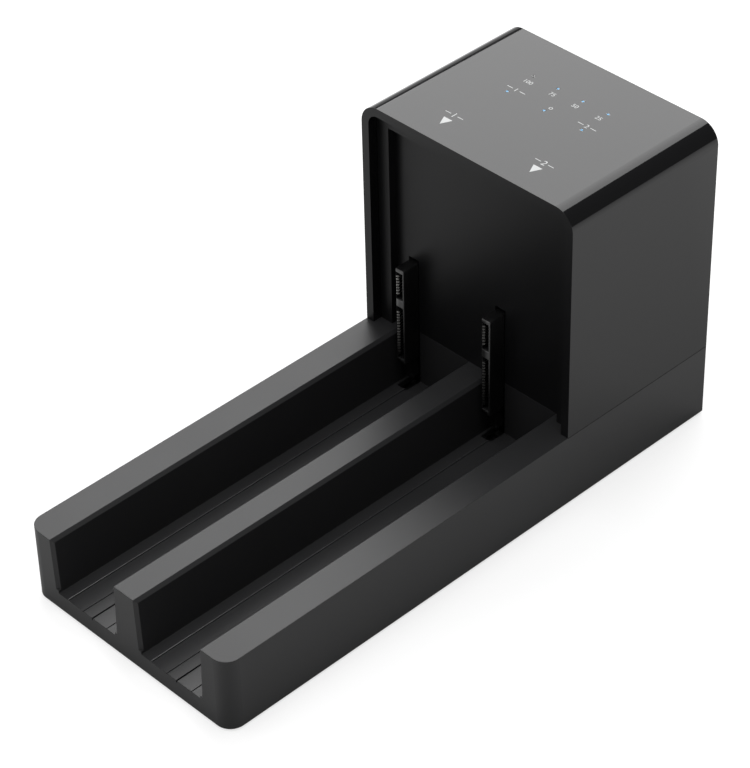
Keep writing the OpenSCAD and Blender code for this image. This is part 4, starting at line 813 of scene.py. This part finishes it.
class DOCK_OT_add_marks(bpy.types.Operator):
    """Print the numbers, rules, arrows and the ring on the hood's top, and light the lamps"""

    bl_idname = "dock.add_marks"
    bl_label = "Add the Marks"

    def execute(self, context):
        m = context.scene.dock_marks
        assign(clear_guide("guide_clear", m.glow_colour, LIT_LAMPS, m.lamp_radius), "light_guides")
        ink = printed("print_ink", m.ink_colour, 0.3 * MM, 0.5)
        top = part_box("tower_hood")[1].z
        signs = [self.number(words, x, y, top, size * m.digit_height)
                 for words, x, y, size in PLAIN_NUMBERS + RULED_NUMBERS]
        signs += [self.rule(x + side * RULE_OFFSET, y, top)
                  for words, x, y, size in RULED_NUMBERS for side in (-1, 1)]
        signs += [self.arrow(x, top) for x in ARROW_PLACES]
        signs.append(flat_ring(32, RING_RADIUS, RING_WIDTH, (*RING_PLACE, top / MM)))
        marks = joined([thickened(sign, m.ink_thickness) for sign in signs], "top_marks")
        marks.data.materials.clear()
        marks.data.materials.append(ink)
        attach(marks, "housing")
        return {"FINISHED"}

    def number(self, words, x, y, top, height):
        """A printed number, whose middle is at x and y."""
        bpy.ops.object.select_all(action="DESELECT")
        bpy.ops.object.text_add()
        sign = bpy.context.object
        sign.data.body = words
        sign.data.resolution_u = 6
        bpy.ops.object.convert(target="MESH")
        sign = bpy.context.object
        low = [min(v.co[i] for v in sign.data.vertices) for i in range(2)]
        high = [max(v.co[i] for v in sign.data.vertices) for i in range(2)]
        size = height / (high[1] - low[1])
        move = Matrix.Translation((x * MM, y * MM, top)) @ Matrix.Scale(size, 4)
        sign.data.transform(move @ Matrix.Translation((-(low[0] + high[0]) / 2, -(low[1] + high[1]) / 2, 0)))
        return sign

    def arrow(self, x, top):
        """A flat triangle that points to the front."""
        bpy.ops.object.select_all(action="DESELECT")
        bpy.ops.mesh.primitive_circle_add(vertices=3, radius=1, fill_type="NGON")
        sign = bpy.context.object
        corners = ((x, ARROW_TIP), (x + ARROW_HALF, ARROW_BACK), (x - ARROW_HALF, ARROW_BACK))
        for vertex, (across, along) in zip(sign.data.vertices, corners):
            vertex.co = (across * MM, along * MM, top)
        return sign

    def rule(self, x, y, top):
        """A short thin line beside a number."""
        bpy.ops.object.select_all(action="DESELECT")
        bpy.ops.mesh.primitive_plane_add(size=1)
        sign = bpy.context.object
        size = Matrix.Diagonal((RULE_LENGTH * MM, RULE_WIDTH * MM, 1, 1))
        sign.data.transform(Matrix.Translation((x * MM, y * MM, top)) @ size)
        return sign


class DOCK_OT_add_stage(bpy.types.Operator):
    """Set up the camera, the floor and the studio light"""

    bl_idname = "dock.add_stage"
    bl_label = "Add the Stage"

    def execute(self, context):
        s = context.scene.dock_stage
        self.add_camera(context, s)
        self.add_floor(s)
        self.add_world(context, s)
        for name, (place, size, power, aim) in SOFTBOXES.items():
            self.add_softbox(context, name, place, size, power, aim)
        return {"FINISHED"}

    def add_camera(self, context, s):
        """The camera, turned about its target by azimuth, elevation and roll."""
        data = bpy.data.cameras.new("camera")
        data.sensor_width = 36
        data.lens = s.lens
        camera = bpy.data.objects.new("camera", data)
        context.scene.collection.objects.link(camera)
        back = Vector((math.sin(s.azimuth) * math.cos(s.elevation),
                       -math.cos(s.azimuth) * math.cos(s.elevation), math.sin(s.elevation)))
        level = Vector((math.cos(s.azimuth), math.sin(s.azimuth), 0))
        up = back.cross(level)
        right = level * math.cos(s.roll) - up * math.sin(s.roll)
        up = back.cross(right)
        turn = Matrix((right, up, back)).transposed().to_4x4()
        camera.matrix_world = Matrix.Translation(Vector(s.target) + back * s.distance) @ turn
        context.scene.camera = camera

    def add_floor(self, s):
        """Pale paper. It looks white to the camera and dimmer in the glossy surfaces, close to the dock."""
        bpy.ops.object.select_all(action="DESELECT")
        bpy.ops.mesh.primitive_plane_add(size=s.floor_size)
        floor = bpy.context.object
        floor.name = "floor"
        look = Look("floor_paper")
        seen = look.ray("Camera").math("MAXIMUM", look.ray("Transmission"))
        far = look.node("ShaderNodeVectorMath", look.place(), operation="LENGTH", out="Value")
        pale = look.blend((far / SEEN_DISTANCE).math("MINIMUM", 1.0), grey(SEEN_CLOSE), grey(SEEN_FAR))
        # Painted shadow: the glow that glossy surfaces mirror dims towards the dock's footprint
        across, along = (place.math("ABSOLUTE") for place in look.axes()[:2])
        beside = (across - FOOTPRINT[0]).math("MAXIMUM", along - FOOTPRINT[1])
        beside = (beside / MIRRORED_DISTANCE).held(0.0, 1.0)
        dim = look.blend(beside, grey(MIRRORED_CLOSE), grey(MIRRORED_FAR))
        glow = look.blend(seen, look.blend(look.ray("Glossy"), grey(FLOOR_GLOW), dim), pale)
        look.surface(colour=grey(FLOOR_COLOUR), roughness=0.9, specular=0.0, glow=glow, glow_strength=1.0)
        floor.data.materials.append(look.material)

    def add_world(self, context, s):
        """White to the camera and through the clear parts, a dim room to the glossy surfaces."""
        world = bpy.data.worlds.new("studio")
        context.scene.world = world
        look = Look("studio", world)
        strength = WORLD_FILL + look.ray("Glossy") * (s.room - WORLD_FILL)
        seen = look.ray("Camera").math("MAXIMUM", look.ray("Transmission"))
        shader = look.node("ShaderNodeBackground", inputs={
            "Color": (1, 1, 1), "Strength": strength + seen * (1 - strength)})
        look.tree.links.new(shader.socket, look.output.inputs["Surface"])

    def add_softbox(self, context, name, place, size, power, aim):
        """A softbox that faces a point. The camera can't see it, but glossy surfaces mirror it."""
        data = bpy.data.lights.new(name, "AREA")
        data.shape = "RECTANGLE"
        data.size, data.size_y = size
        data.energy = power
        lamp = bpy.data.objects.new(name, data)
        context.scene.collection.objects.link(lamp)
        lamp.location = place
        lamp.rotation_euler = (Vector(place) - Vector(aim)).to_track_quat("Z", "Y").to_euler()
        lamp.visible_camera = False


class DOCK_PT_sidebar(bpy.types.Panel):
    """Lists the steps that finish the docking station"""

    bl_idname = "DOCK_PT_sidebar"
    bl_label = "Docking Station"
    bl_space_type = "VIEW_3D"
    bl_region_type = "UI"
    bl_category = "Docking Station"

    def draw(self, context):
        layout = self.layout
        for key in GROUPS:
            group = getattr(context.scene, key)
            box = layout.box()
            for name in group.__annotations__:
                box.prop(group, name)
        for operator in OPERATORS:
            layout.operator(operator.bl_idname)


GROUPS = {"dock_finishes": DockFinishes, "dock_connectors": DockConnectors, "dock_marks": DockMarks,
          "dock_stage": DockStage}
OPERATORS = [DOCK_OT_add_connectors, DOCK_OT_add_guides, DOCK_OT_add_switch_marks, DOCK_OT_finish_housing,
             DOCK_OT_finish_insides, DOCK_OT_finish_rear, DOCK_OT_add_marks, DOCK_OT_add_stage]
CLASSES = [*GROUPS.values(), *OPERATORS, DOCK_PT_sidebar]


def register():
    for cls in CLASSES:
        bpy.utils.register_class(cls)
    for name, cls in GROUPS.items():
        setattr(bpy.types.Scene, name, PointerProperty(type=cls))


def unregister():
    for name in GROUPS:
        delattr(bpy.types.Scene, name)
    for cls in reversed(CLASSES):
        bpy.utils.unregister_class(cls)


def main():
    register()
    bpy.context.scene.view_settings.view_transform = "Standard"
    bpy.ops.dock.add_connectors()
    bpy.ops.dock.add_guides()
    bpy.ops.dock.add_switch_marks()
    bpy.ops.dock.finish_housing()
    bpy.ops.dock.finish_insides()
    bpy.ops.dock.finish_rear()
    bpy.ops.dock.add_marks()
    bpy.ops.dock.add_stage()


if __name__ == "__main__":
    main()
